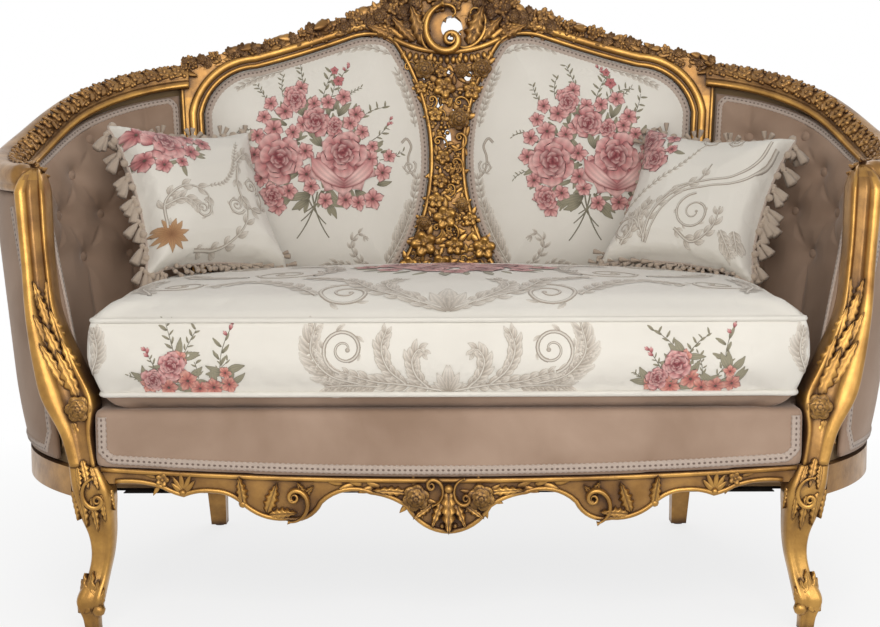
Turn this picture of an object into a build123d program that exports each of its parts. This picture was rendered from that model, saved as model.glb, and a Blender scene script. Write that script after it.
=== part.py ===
"""Gilt carved settee with a wrapped upholstered back, a loose seat cushion and two throw pillows."""
import os
from math import cos, radians, sin

from build123d import *

os.makedirs("parts", exist_ok=True)

# Driving dimensions, in millimetres and degrees.
# The back and arms are one leaning wall. Its plan is a chain of tangent arcs: back, shoulder, arm.
SEAT_Z = 240.0
REF_Z = 1050.0
BACK_TURN = 9.0
SHOULDER_TURN = 81.0
ARM_TURN = 46.0
# Middle of the back, half chord to the stile, shoulder radius and arm radius at the two heights.
LOW_PLAN = (275.0, 435.0, 266.0, 395.0)
HIGH_PLAN = (355.0, 480.0, 320.6, 205.0)
SHOULDER_END = BACK_TURN + SHOULDER_TURN
WALL_END = SHOULDER_END + ARM_TURN
FAR = 900.0
GAP = 0.2

# Depths across the wall, positive outward from its middle line.
FRAME_IN, FRAME_OUT = -16.0, 24.0
ARM_IN, ARM_OUT = -24.0, 28.0
SIDE_RAIL_IN, SIDE_RAIL_OUT = -34.0, 16.0
COVER_IN, COVER_THICK = 9.0, 7.0
BACKING_THICK = 2.0

# Back frame, seen from the front. Its upper outline is measured down from the top of the crest.
STILE_HALF = 19.0
BACK_OVERRUN = 6.0
CREST_TOP = 1012.0
CREST_END_X, CREST_END_Z = 485.0, CREST_TOP - 148.0
CREST_SWELL = (325.0, CREST_TOP - 110.0)
CREST_SHOULDER = (130.0, CREST_TOP - 46.0)
CREST_ROUND = (72.0, CREST_TOP - 14.0)
STILE_TOP = CREST_TOP - 212.0
PIERCE_X, PIERCE_Z, PIERCE_W, PIERCE_H = 9.0, CREST_TOP - 84.0, 40.0, 44.0
SPLAT_TOP = CREST_TOP - 144.0
LOWER_RAIL_BOTTOM, LOWER_RAIL_TOP = 424.0, 470.0
PANEL_TOP_IN = (96.0, CREST_TOP - 117.0)
PANEL_PEAK = (130.0, CREST_TOP - 100.0)
PANEL_FALL = (175.0, CREST_TOP - 105.0)
PANEL_HOLLOW = (262.0, CREST_TOP - 134.0)
PANEL_CROOK = (350.0, CREST_TOP - 159.0)
PANEL_ROUND = (417.0, CREST_TOP - 188.0)
PANEL_CORNER_Z = CREST_TOP - 242.0
SPLAT_WAIST_X, SPLAT_FOOT_X = 33.0, 104.0
SPLAT_WAIST_Z = (LOWER_RAIL_TOP + PANEL_TOP_IN[1]) / 2
# Pierced slots of the splat: x, drop below its top, width, height.
SPLAT_SLOTS = ((0.0, 22.0, 26.0, 14.0), (-38.0, 26.0, 15.0, 24.0), (38.0, 26.0, 15.0, 24.0),
               (-14.0, 78.0, 12.0, 30.0), (16.0, 86.0, 12.0, 30.0), (0.0, 144.0, 14.0, 34.0))

# Arm rail, seen from the side: it rises from the post to the stile.
ARM_FRONT_Y = -262.0
ARM_FLAT_Y = -200.0
POST_TOP = 638.0
ARM_END = (350.0, CREST_END_Z - 21.0)
ARM_RISE = ((-60.0, 0.083), (60.0, 0.263), (185.0, 0.605), (ARM_END[0], 1.0))
ARM_UNDERSIDE = [(y, POST_TOP + share * (ARM_END[1] - POST_TOP)) for y, share in ARM_RISE]
ARM_TANGENTS = ((1.0, 0.0), (0.92, 0.39))
ARM_HEIGHT = 42.0
ARM_OVERRUN = 6.0

# Arm post sections: height, inner x, outer x, front y, back y.
POST_SECTIONS = ((245.0, 508.0, 545.0, -340.0, -290.0), (290.0, 514.0, 558.0, -336.0, -286.0),
                 (345.0, 512.0, 588.0, -327.0, -279.0), (390.0, 536.0, 601.0, -315.0, -270.0),
                 (450.0, 566.0, 614.0, -297.0, -254.0), (540.0, 585.0, 626.0, -272.0, -230.0),
                 (POST_TOP, 594.0, 638.0, -254.0, -208.0))
POST_FOOT = POST_SECTIONS[0][0]

# Front leg sections: height, middle x, middle y, width.
GLIDE_H, GLIDE_R = 3.0, 9.0
LEG_SECTIONS = ((GLIDE_H, 519.0, -330.0, 23.0), (20.0, 520.0, -332.0, 25.0), (48.0, 521.0, -334.0, 39.0),
                (85.0, 510.0, -323.0, 31.0), (112.0, 505.0, -318.0, 32.0), (140.0, 505.0, -316.0, 38.0),
                (170.0, 510.0, -317.0, 49.0), (211.0, 516.0, -317.0, 59.0), (POST_FOOT, 525.0, -316.0, 50.0))
LEG_ROUND = 0.22
REAR_LEG_TOP, REAR_LEG_FOOT = (435.0, 245.0, 46.0), (433.0, 302.0, 28.0)

# Seat frame.
RAIL_BOTTOM = 198.0
RAIL_FRONT_Y, RAIL_BACK_Y = -336.0, -298.0
# The rail runs into the leg: it stops shy of the leg's middle, and its crown and apron start inside that.
RAIL_SHY, CROWN_INSET, KNEE_INSET = 5.0, 20.0, 40.0
RAIL_REACH = LEG_SECTIONS[-1][1] - RAIL_SHY
RAIL_CROWN_X, RAIL_CROWN_Z, RAIL_DIP_Z = RAIL_REACH - CROWN_INSET, 246.0, 228.0
# Lower edge of the front rail from the leg to the middle: point on the arc, arc end.
APRON_KNEE = (RAIL_REACH - KNEE_INSET, 220.0)
APRON_ARCS = (((448.0, 220.0), (412.0, 212.0)), ((398.0, 205.0), (382.0, 200.0)),
              ((366.0, 205.0), (340.0, 206.0)), ((322.0, 203.0), (300.0, 190.0)),
              ((272.0, 171.0), (235.0, 165.0)), ((200.0, 170.0), (182.0, 190.0)),
              ((150.0, 207.0), (112.0, 203.0)), ((84.0, 196.0), (62.0, 184.0)),
              ((36.0, 156.0), (0.0, 145.0)))
CLEAT_THICK, CLEAT_H = 22.0, 30.0
BLOCK_BOTTOM, BLOCK_TOP = 200.0, 236.0
FRONT_BLOCK = ((395.0, -275.8), (546.0, -275.8), (607.0, -180.0))
REAR_BLOCK = ((330.0, 243.0), (420.0, 243.0), (490.0, 215.0), (430.0, 165.0))
WEB_THICK, WEB_WIDTH = 2.0, 50.0
WEB_X = (-348.0, -232.0, -116.0, 0.0, 116.0, 232.0, 348.0)
WEB_Y = (-190.0, -85.0, 20.0, 120.0)
DUST_THICK, DUST_NOTCH, DUST_EDGE = 1.0, 76.0, -11.0
DOWEL_R, DOWEL_HALF, DOWEL_FIT = 4.5, 20.0, 0.1
SPLAT_DOWEL_X, FOOT_DOWEL_X = 40.0, 62.0
RAIL_DOWEL_INSET, RAIL_DOWEL_DROP = 28.0, 14.0

# Upholstery.
DECK_TOP = 328.0
DECK_FRONT_Y, DECK_IN, DECK_ROUND, DECK_SKIRT = -345.0, -48.0, 14.0, 10.0
DECK_POST_GAP = 12.0
DECK_HALF = POST_SECTIONS[0][1] - DECK_POST_GAP
LINING_START, LINING_OVERRUN = 11.0, 2.0
# Side padding: share of the height from its foot to above the arm rail, inner depth.
SIDE_PAD_FOOT, SIDE_PAD_HEAD = POST_FOOT + 1.0, ARM_END[1] + 17.0
SIDE_PAD = ((0.0, -34.0), (0.137, -40.0), (0.300, -45.0), (0.511, -44.0), (0.707, -38.0), (1.0, -26.0))
SIDE_PAD_RISE = SIDE_PAD_HEAD - SIDE_PAD_FOOT
SIDE_PAD_LEVELS = [(SIDE_PAD_FOOT + share * SIDE_PAD_RISE, depth) for share, depth in SIDE_PAD]
PAD_POST_GAP = 1.5
# Tufts: rows below the arm's level as drops, rows beside its slope as shares of the slope; headings.
TUFTS_BELOW = ((118.0, (38.0, 60.0, 82.0, 104.0)), (46.0, (27.0, 49.0, 71.0, 93.0, 113.0)))
TUFTS_BESIDE = ((0.107, (38.0, 60.0, 82.0)), (0.41, (27.0, 49.0)))
TUFT_ROWS = [(POST_TOP - drop, turns) for drop, turns in TUFTS_BELOW]
TUFT_ROWS += [(POST_TOP + share * (ARM_END[1] - POST_TOP), turns) for share, turns in TUFTS_BESIDE]
TUFT_R, TUFT_SINK = 17.0, 4.0
BUTTON_R, BUTTON_H = 8.0, 5.0
# Back padding: share of the opening's height, share of the crown.
PAD_SHARES = ((0.0045, 0.55), (0.158, 0.9), (0.385, 1.0), (0.611, 1.0), (0.7805, 0.85),
              (0.882, 0.65), (0.993, 0.35))
PANEL_RISE = PANEL_PEAK[1] - LOWER_RAIL_TOP
PAD_LEVELS = [(LOWER_RAIL_TOP + share * PANEL_RISE, crown) for share, crown in PAD_SHARES]
PAD_EDGE, PAD_CROWN, PAD_BACK, PAD_FIT = -8.0, -46.0, 5.0, 1.0
PAD_INNER_X, PAD_OVERLAP = 18.0, 6.0

# Seat cushion plan, right half from the front corner to the back, and its sections: height and draw-in.
CUSHION_PLAN = ((508.0, -370.25), (534.0, -120.0), (532.0, 70.0), (500.0, 172.0), (410.0, 226.0))
CUSHION_BACK_Y = 238.0
CUSHION = ((DECK_TOP + GAP, 52.0), (336.0, 28.0), (350.0, 16.0), (404.0, 0.0), (458.0, 2.0), (474.0, 20.0),
           (485.0, 66.0), (491.0, 140.0))
CUSHION_BOW = 5.0

# Throw pillow sections: distance from the middle, half width, draw-in of the sides.
PILLOW = ((-50.0, 44.0, 2.0), (-43.0, 86.0, 7.0), (-26.0, 124.0, 13.0), (0.0, 143.0, 17.0),
          (26.0, 124.0, 13.0), (43.0, 86.0, 7.0), (50.0, 44.0, 2.0))
# Middle, heading turned from the front, lean back, roll.
PILLOW_LEFT = ((-429.8, 121.2, 616.0), 43.0, 28.0, -2.0)
PILLOW_RIGHT = ((432.5, 131.3, 608.3), -30.0, 32.0, -5.0)


def plan_at(z):
    """Return the four plan values of the wall at height z."""
    share = (z - SEAT_Z) / (REF_Z - SEAT_Z)
    return [low + share * (high - low) for low, high in zip(LOW_PLAN, HIGH_PLAN)]


def wall_point(turn, z, out=0.0):
    """Return the plan point of the wall at a heading turned from the back, and a depth outward."""
    back_y, stile_x, shoulder_r, arm_r = plan_at(z)
    side = -1.0 if turn < 0 else 1.0
    turn = abs(turn)
    radius = stile_x / sin(radians(BACK_TURN))
    x, y = 0.0, back_y - radius
    for limit, following in ((BACK_TURN, shoulder_r), (SHOULDER_END, arm_r)):
        if turn > limit:
            x += (radius - following) * sin(radians(limit))
            y += (radius - following) * cos(radians(limit))
            radius = following
    angle = radians(turn)
    return (side * (x + (radius + out) * sin(angle)), y + (radius + out) * cos(angle))


def wall_arcs(z, out, start, end):
    """Draw the wall line between two headings, one arc for each plan radius."""
    joins = (-SHOULDER_END, -BACK_TURN, BACK_TURN, SHOULDER_END)
    breaks = [turn for turn in joins if min(start, end) < turn < max(start, end)]
    stops = [start] + sorted(breaks, reverse=start > end) + [end]
    for a, b in zip(stops, stops[1:]):
        ThreePointArc(wall_point(a, z, out), wall_point((a + b) / 2, z, out), wall_point(b, z, out))


def wall_ring(z, inner, outer, start, end):
    """Draw a closed strip of the wall between two depths."""
    wall_arcs(z, inner, start, end)
    Line(wall_point(end, z, inner), wall_point(end, z, outer))
    wall_arcs(z, outer, end, start)
    Line(wall_point(start, z, outer), wall_point(start, z, inner))


def wall_slab(levels, start, end):
    """Loft a strip of the wall through (height, inner depth, outer depth) levels."""
    with BuildPart() as slab:
        for z, inner, outer in levels:
            with BuildSketch(Plane.XY.offset(z)):
                with BuildLine():
                    wall_ring(z, inner, outer, start, end)
                make_face()
        loft(ruled=True)
    return slab.part


def upright_slab(inner, outer, start, end, bottom, top):
    """Extrude the seat plan strip between two heights."""
    with BuildPart() as slab:
        with BuildSketch(Plane.XY.offset(bottom)):
            with BuildLine():
                wall_ring(SEAT_Z, inner, outer, start, end)
            make_face()
        extrude(amount=top - bottom)
    return slab.part


def view_prism(plane, *points):
    """Extrude a straight-sided outline both ways from a view plane."""
    with BuildPart() as prism:
        with BuildSketch(plane):
            with BuildLine():
                Polyline(*points, close=True)
            make_face()
        extrude(amount=FAR, both=True)
    return prism.part


def stile_x(z, side):
    """Return the front-view x of a stile edge, side -1 inner and 1 outer."""
    return plan_at(z)[1] + side * STILE_HALF


def panel_prism(shrink):
    """Extrude the opening of the right back panel, drawn in by an amount."""
    with BuildPart() as prism:
        with BuildSketch(Plane.XZ):
            with BuildLine():
                ThreePointArc((SPLAT_FOOT_X, LOWER_RAIL_TOP), (SPLAT_WAIST_X, SPLAT_WAIST_Z), PANEL_TOP_IN)
                ThreePointArc(PANEL_TOP_IN, PANEL_PEAK, PANEL_FALL)
                ThreePointArc(PANEL_FALL, PANEL_HOLLOW, PANEL_CROOK)
                corner = (stile_x(PANEL_CORNER_Z, -1), PANEL_CORNER_Z)
                ThreePointArc(PANEL_CROOK, PANEL_ROUND, corner)
                Line(corner, (stile_x(LOWER_RAIL_TOP, -1), LOWER_RAIL_TOP))
                Line((stile_x(LOWER_RAIL_TOP, -1), LOWER_RAIL_TOP), (SPLAT_FOOT_X, LOWER_RAIL_TOP))
            make_face()
            if shrink:
                offset(amount=-shrink, mode=Mode.REPLACE)
        extrude(amount=FAR, both=True)
    return prism.part


def arm_prism(rise_low, rise_high, front_y):
    """Extrude the side-view strip between two heights above the arm rail's underside."""
    with BuildPart() as prism:
        with BuildSketch(Plane.YZ):
            with BuildLine():
                ends = []
                for rise in (rise_low, rise_high):
                    flat = (ARM_FLAT_Y, POST_TOP + rise)
                    rises = [(y, z + rise) for y, z in ARM_UNDERSIDE]
                    Line((front_y, POST_TOP + rise), flat)
                    Spline(flat, *rises, tangents=ARM_TANGENTS)
                    ends.append(rises[-1])
                Line((front_y, POST_TOP + rise_low), (front_y, POST_TOP + rise_high))
                Line(*ends)
            make_face()
        extrude(amount=FAR, both=True)
    return prism.part


def mirrored(solid):
    """Return the solid on the other side of the settee."""
    with BuildPart() as other:
        mirror(solid, about=Plane.YZ)
    return other.part


def save(solid, name):
    """Label one piece and write it."""
    solid.label = name
    export_step(solid, f"parts/{name}.step")


def save_pair(solid, name):
    """Write a right-hand piece and its left-hand twin."""
    save(mirrored(solid), f"{name}_left")
    save(solid, f"{name}_right")


# Dowels of the main joints, and the holes they stand in.
stile_mid = wall_point(BACK_TURN, STILE_TOP, (FRAME_IN + FRAME_OUT) / 2)
splat_mid = wall_point(0.0, SPLAT_TOP, (FRAME_IN + FRAME_OUT) / 2)
foot_mid = wall_point(0.0, LOWER_RAIL_TOP, (FRAME_IN + FRAME_OUT) / 2)
_, post_in, post_out, post_front, post_back = POST_SECTIONS[-1]
post_mid = ((post_in + post_out) / 2, (post_front + post_back) / 2)
STANDING = ((*LEG_SECTIONS[-1][1:3], POST_FOOT), (*post_mid, POST_TOP), (*REAR_LEG_TOP[:2], SEAT_Z),
            (*stile_mid, STILE_TOP), (SPLAT_DOWEL_X, splat_mid[1], SPLAT_TOP),
            (FOOT_DOWEL_X, foot_mid[1], LOWER_RAIL_TOP))
LYING = (RAIL_REACH - RAIL_DOWEL_INSET, (RAIL_FRONT_Y + RAIL_BACK_Y) / 2, RAIL_CROWN_Z - RAIL_DOWEL_DROP)


def dowel_set(fit):
    """Return every dowel, grown by a fit."""
    with BuildPart() as dowels:
        for x, y, z in STANDING:
            with Locations((x, y, z), (-x, y, z)):
                Cylinder(DOWEL_R + fit, 2 * (DOWEL_HALF + fit))
        for side in (-1, 1):
            with Locations(Location((side * LYING[0], LYING[1], LYING[2]), (0, 90, 0))):
                Cylinder(DOWEL_R + fit, 2 * (DOWEL_HALF + fit))
    return dowels.part


dowel_holes = dowel_set(DOWEL_FIT)
save(dowel_set(0.0), "frame_dowels")

# Front legs and arm posts.
with BuildPart() as front_leg:
    for z, x, y, width in LEG_SECTIONS:
        with BuildSketch(Plane.XY.offset(z)):
            with Locations((x, y)):
                RectangleRounded(width, width, LEG_ROUND * width)
    loft()
leg_shape = front_leg.part
with BuildPart() as front_leg_drilled:
    add(leg_shape)
    add(dowel_holes, mode=Mode.SUBTRACT)
save_pair(front_leg_drilled.part, "front_leg")

with BuildPart() as arm_post:
    for z, x_in, x_out, y_front, y_back in POST_SECTIONS:
        with BuildSketch(Plane.XY.offset(z)):
            with Locations(((x_in + x_out) / 2, (y_front + y_back) / 2)):
                Rectangle(x_out - x_in, y_back - y_front)
    loft()
    add(dowel_holes, mode=Mode.SUBTRACT)
save_pair(arm_post.part, "arm_post")

# Rear legs, leaning back to the floor.
with BuildPart() as rear_leg:
    for z, (x, y, width) in ((GLIDE_H, REAR_LEG_FOOT), (SEAT_Z, REAR_LEG_TOP)):
        with BuildSketch(Plane.XY.offset(z)):
            with Locations((x, y)):
                Rectangle(width, width)
    loft(ruled=True)
rear_leg_shape = rear_leg.part
with BuildPart() as rear_leg_drilled:
    add(rear_leg_shape)
    add(dowel_holes, mode=Mode.SUBTRACT)
save_pair(rear_leg_drilled.part, "rear_leg")

with BuildPart() as leg_glides:
    feet = (LEG_SECTIONS[0][1:3], REAR_LEG_FOOT[0:2])
    with Locations(*[(side * x, y, GLIDE_H / 2) for x, y in feet for side in (-1, 1)]):
        Cylinder(GLIDE_R, GLIDE_H)
save(leg_glides.part, "leg_glides")

# Seat rails.
with BuildPart() as front_seat_rail:
    with BuildSketch(Plane.XZ.offset(-RAIL_BACK_Y)):
        with BuildLine():
            ThreePointArc((-RAIL_CROWN_X, RAIL_CROWN_Z), (0.0, RAIL_DIP_Z), (RAIL_CROWN_X, RAIL_CROWN_Z))
            for side in (-1, 1):
                Polyline((side * RAIL_CROWN_X, RAIL_CROWN_Z), (side * RAIL_REACH, RAIL_CROWN_Z),
                         (side * RAIL_REACH, APRON_KNEE[1]), (side * APRON_KNEE[0], APRON_KNEE[1]))
                last = APRON_KNEE
                for middle, end in APRON_ARCS:
                    ThreePointArc(*[(side * x, z) for x, z in (last, middle, end)])
                    last = end
        make_face()
    extrude(amount=RAIL_BACK_Y - RAIL_FRONT_Y)
    for neighbour in (leg_shape, arm_post.part):
        add(neighbour, mode=Mode.SUBTRACT)
        add(mirrored(neighbour), mode=Mode.SUBTRACT)
    add(dowel_holes, mode=Mode.SUBTRACT)
save(front_seat_rail.part, "front_seat_rail")

with BuildPart() as side_seat_rail:
    add(upright_slab(SIDE_RAIL_IN, SIDE_RAIL_OUT, BACK_TURN, WALL_END, RAIL_BOTTOM, SEAT_Z))
    add(leg_shape, mode=Mode.SUBTRACT)
    add(rear_leg_shape, mode=Mode.SUBTRACT)
    add(arm_post.part, mode=Mode.SUBTRACT)
side_rail_shape = side_seat_rail.part
save_pair(side_rail_shape, "side_seat_rail")

with BuildPart() as back_seat_rail:
    add(upright_slab(FRAME_IN, FRAME_OUT, -BACK_TURN, BACK_TURN, RAIL_BOTTOM, SEAT_Z))
    add(rear_leg_shape, mode=Mode.SUBTRACT)
    add(mirrored(rear_leg_shape), mode=Mode.SUBTRACT)
save(back_seat_rail.part, "back_seat_rail")

with BuildPart() as corner_blocks:
    for points in (FRONT_BLOCK, REAR_BLOCK):
        with BuildSketch(Plane.XY.offset(BLOCK_BOTTOM)):
            with BuildLine():
                Polyline(*points, close=True)
            make_face()
        extrude(amount=BLOCK_TOP - BLOCK_BOTTOM)
    for neighbour in (side_rail_shape, leg_shape, rear_leg_shape, back_seat_rail.part):
        add(neighbour, mode=Mode.SUBTRACT)
    mirror(about=Plane.YZ)
save(corner_blocks.part, "corner_blocks")

with BuildPart() as webbing_cleat:
    with Locations((0, RAIL_BACK_Y + CLEAT_THICK / 2, SEAT_Z - CLEAT_H / 2)):
        Box(2 * (LEG_SECTIONS[-2][1] - LEG_SECTIONS[-2][3] / 2 - GAP), CLEAT_THICK, CLEAT_H)
save(webbing_cleat.part, "webbing_cleat")

# Webbing, in two layers over the rails.
back_r = LOW_PLAN[1] / sin(radians(BACK_TURN))
with BuildPart() as webbing_crosswise:
    for x in WEB_X:
        reach = LOW_PLAN[0] - x * x / (2 * back_r)
        front = RAIL_BACK_Y + GAP
        with Locations((x, (reach + front) / 2, SEAT_Z + WEB_THICK / 2)):
            Box(WEB_WIDTH, reach - front, WEB_THICK)
save(webbing_crosswise.part, "webbing_crosswise")

web_top = SEAT_Z + 2 * WEB_THICK
arm_mid = wall_point(SHOULDER_END, SEAT_Z)
with BuildPart() as webbing_lengthwise:
    for y in WEB_Y:
        curve_r = LOW_PLAN[3] if y < arm_mid[1] else LOW_PLAN[2]
        reach = abs(y - arm_mid[1]) + WEB_WIDTH / 2
        half = arm_mid[0] - curve_r + (curve_r ** 2 - reach ** 2) ** 0.5
        with Locations((0, y, web_top - WEB_THICK / 2)):
            Box(2 * half, WEB_WIDTH, WEB_THICK)
save(webbing_lengthwise.part, "webbing_lengthwise")

# Dust cover under the seat.
with BuildPart() as dust_cover:
    with BuildSketch(Plane.XY.offset(RAIL_BOTTOM - DUST_THICK)):
        with BuildLine():
            wall_arcs(SEAT_Z, DUST_EDGE, WALL_END, -WALL_END)
            right, left = (wall_point(turn, SEAT_Z, DUST_EDGE) for turn in (WALL_END, -WALL_END))
            Line(left, right)
        make_face()
        for x, y in (REAR_LEG_TOP[:2], LEG_SECTIONS[-2][1:3]):
            with Locations((x, y), (-x, y)):
                Rectangle(DUST_NOTCH, DUST_NOTCH, mode=Mode.SUBTRACT)
        with Locations((0, RAIL_BACK_Y - FAR / 2)):
            Rectangle(2 * FAR, FAR, mode=Mode.SUBTRACT)
    extrude(amount=DUST_THICK)
save(dust_cover.part, "dust_cover")

# Back frame members, all cut from one leaning wall.
opening_right = panel_prism(0.0)
opening_left = mirrored(opening_right)
back_end = BACK_TURN + BACK_OVERRUN
back_levels = ((SEAT_Z, FRAME_IN, FRAME_OUT), (CREST_TOP + GAP, FRAME_IN, FRAME_OUT))
back_wall = wall_slab(back_levels, -back_end, back_end)

with BuildPart() as crest_outline:
    with BuildSketch(Plane.XZ):
        with BuildLine():
            for side in (-1, 1):
                end = (side * CREST_END_X, CREST_END_Z)
                swell, shoulder, bend = [(side * x, z) for x, z in (CREST_SWELL, CREST_SHOULDER, CREST_ROUND)]
                Line((side * CREST_END_X, STILE_TOP), end)
                ThreePointArc(end, swell, shoulder)
                ThreePointArc(shoulder, bend, (0.0, CREST_TOP))
            Line((-CREST_END_X, STILE_TOP), (CREST_END_X, STILE_TOP))
        make_face()
        with Locations((PIERCE_X, PIERCE_Z)):
            Ellipse(PIERCE_W / 2, PIERCE_H / 2, mode=Mode.SUBTRACT)
        with Locations((0, SPLAT_TOP - FAR / 2)):
            Rectangle(2 * PANEL_PEAK[0], FAR, mode=Mode.SUBTRACT)
    extrude(amount=FAR, both=True)

with BuildPart() as crest_rail:
    add(back_wall)
    add(crest_outline.part, mode=Mode.INTERSECT)
    for cutter in (opening_right, opening_left, dowel_holes):
        add(cutter, mode=Mode.SUBTRACT)
save(crest_rail.part, "crest_rail")

stile_head_x = PANEL_ROUND[0] - STILE_HALF
with BuildPart() as back_stile:
    add(back_wall)
    add(view_prism(Plane.XZ, (stile_x(SEAT_Z, -1), SEAT_Z), (stile_x(SEAT_Z, 1), SEAT_Z),
                   (CREST_END_X, STILE_TOP), (stile_head_x, STILE_TOP), (stile_head_x, PANEL_CORNER_Z),
                   (stile_x(PANEL_CORNER_Z, -1), PANEL_CORNER_Z)), mode=Mode.INTERSECT)
    add(opening_right, mode=Mode.SUBTRACT)
    add(dowel_holes, mode=Mode.SUBTRACT)
save_pair(back_stile.part, "back_stile")

with BuildPart() as splat_outline:
    with BuildSketch(Plane.XZ):
        with Locations((0, (SPLAT_TOP + LOWER_RAIL_TOP) / 2)):
            Rectangle(2 * SPLAT_FOOT_X, SPLAT_TOP - LOWER_RAIL_TOP)
        for x, drop, width, height in SPLAT_SLOTS:
            with Locations((x, SPLAT_TOP - drop)):
                Ellipse(width / 2, height / 2, mode=Mode.SUBTRACT)
    extrude(amount=FAR, both=True)
with BuildPart() as back_splat:
    add(back_wall)
    add(splat_outline.part, mode=Mode.INTERSECT)
    for cutter in (opening_right, opening_left, dowel_holes):
        add(cutter, mode=Mode.SUBTRACT)
save(back_splat.part, "back_splat")

with BuildPart() as lower_back_rail:
    add(back_wall)
    low_x, high_x = stile_x(LOWER_RAIL_BOTTOM, -1), stile_x(LOWER_RAIL_TOP, -1)
    add(view_prism(Plane.XZ, (-low_x, LOWER_RAIL_BOTTOM), (low_x, LOWER_RAIL_BOTTOM),
                   (high_x, LOWER_RAIL_TOP), (-high_x, LOWER_RAIL_TOP)), mode=Mode.INTERSECT)
    add(dowel_holes, mode=Mode.SUBTRACT)
save(lower_back_rail.part, "lower_back_rail")

# Arm rail.
with BuildPart() as arm_rail:
    levels = ((POST_TOP - ARM_HEIGHT, ARM_IN, ARM_OUT), (CREST_TOP, ARM_IN, ARM_OUT))
    add(wall_slab(levels, BACK_TURN, WALL_END + ARM_OVERRUN))
    add(arm_prism(0.0, ARM_HEIGHT, ARM_FRONT_Y), mode=Mode.INTERSECT)
    with Locations((CREST_END_X - FAR, 0, CREST_TOP / 2)):
        Box(2 * FAR, 2 * FAR, 2 * CREST_TOP, mode=Mode.SUBTRACT)
    add(dowel_holes, mode=Mode.SUBTRACT)
save_pair(arm_rail.part, "arm_rail")

# Side walls: padding, backing and outside cover, trimmed behind the post and under the arm rail.
post_backs = [(y_back + PAD_POST_GAP, z) for z, _, _, _, y_back in POST_SECTIONS]
with BuildPart() as side_trim:
    with BuildSketch(Plane.YZ):
        with BuildLine():
            Spline(*post_backs)
            flat = (ARM_FLAT_Y, POST_TOP - GAP)
            Line(post_backs[-1], (post_backs[-1][0], POST_TOP - GAP))
            Line((post_backs[-1][0], POST_TOP - GAP), flat)
            rises = [(y, z - GAP) for y, z in ARM_UNDERSIDE]
            Spline(flat, *rises, tangents=ARM_TANGENTS)
            Polyline(rises[-1], (rises[-1][0], SEAT_Z), (post_backs[0][0], SEAT_Z), post_backs[0])
        make_face()
    extrude(amount=FAR, both=True)
    add(view_prism(Plane.XZ, (stile_x(SEAT_Z, 1) + PAD_FIT, SEAT_Z), (FAR, SEAT_Z), (FAR, CREST_TOP),
                   (stile_x(CREST_TOP, 1) + PAD_FIT, CREST_TOP)), mode=Mode.INTERSECT)

tufts = []
for z, turns in TUFT_ROWS:
    for low, high in zip(SIDE_PAD_LEVELS, SIDE_PAD_LEVELS[1:]):
        if low[0] <= z < high[0]:
            face = low[1] + (high[1] - low[1]) * (z - low[0]) / (high[0] - low[0])
    tufts += [(turn, z, face) for turn in turns]

with BuildPart() as side_pad:
    add(wall_slab([(z, inner, 0.0) for z, inner in SIDE_PAD_LEVELS], LINING_START, WALL_END + LINING_OVERRUN))
    add(side_trim.part, mode=Mode.INTERSECT)
    for turn, z, face in tufts:
        with Locations((*wall_point(turn, z, face - TUFT_SINK), z)):
            Sphere(TUFT_R, mode=Mode.SUBTRACT)
save_pair(side_pad.part, "side_pad")

with BuildPart() as tuft_buttons:
    seat = (TUFT_R ** 2 - BUTTON_R ** 2) ** 0.5 - GAP
    for turn, z, face in tufts:
        x, y = wall_point(turn, z, face - TUFT_SINK + seat - BUTTON_H / 2)
        with Locations(Plane((x, y, z), z_dir=(sin(radians(turn)), cos(radians(turn)), 0))):
            Cylinder(BUTTON_R, BUTTON_H)
save_pair(tuft_buttons.part, "tuft_buttons")

for name, inner, thick in (("side_backing", GAP, BACKING_THICK), ("outer_side_cover", COVER_IN, COVER_THICK)):
    with BuildPart() as lining:
        levels = ((SEAT_Z + GAP, inner, inner + thick), (SIDE_PAD_HEAD, inner, inner + thick))
        add(wall_slab(levels, LINING_START, WALL_END + LINING_OVERRUN))
        add(side_trim.part, mode=Mode.INTERSECT)
    save_pair(lining.part, name)

# Back panels: crowned pad, backing in the opening, cover on the outside.
panel_in = panel_prism(PAD_FIT)
with BuildPart() as back_pad:
    for z, crown in PAD_LEVELS:
        back_mid = plan_at(z)[0]
        radius = plan_at(z)[1] / sin(radians(BACK_TURN))
        x_in = PAD_INNER_X
        x_out = stile_x(min(z, PANEL_CORNER_Z), -1) + PAD_OVERLAP
        ends = []
        for x, depth in ((x_in, PAD_BACK), (x_out, PAD_BACK), (x_out, PAD_EDGE), (x_in, PAD_EDGE)):
            ends.append((x, back_mid - x * x / (2 * radius) + depth))
        mid_x = (x_in + x_out) / 2
        mid_y = back_mid - mid_x ** 2 / (2 * radius)
        with BuildSketch(Plane.XY.offset(z)):
            with BuildLine():
                ThreePointArc(ends[0], (mid_x, mid_y + PAD_BACK), ends[1])
                Line(ends[1], ends[2])
                ThreePointArc(ends[2], (mid_x, mid_y + PAD_EDGE + (PAD_CROWN - PAD_EDGE) * crown), ends[3])
                Line(ends[3], ends[0])
            make_face()
    loft(ruled=True)
    add(panel_in, mode=Mode.INTERSECT)
save_pair(back_pad.part, "back_pad")

with BuildPart() as back_backing:
    depth = PAD_BACK + 2 * GAP
    add(wall_slab(((SEAT_Z, depth, depth + BACKING_THICK), (CREST_TOP, depth, depth + BACKING_THICK)),
                  -BACK_TURN, BACK_TURN))
    add(opening_right, mode=Mode.INTERSECT)
save_pair(back_backing.part, "back_backing")

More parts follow.
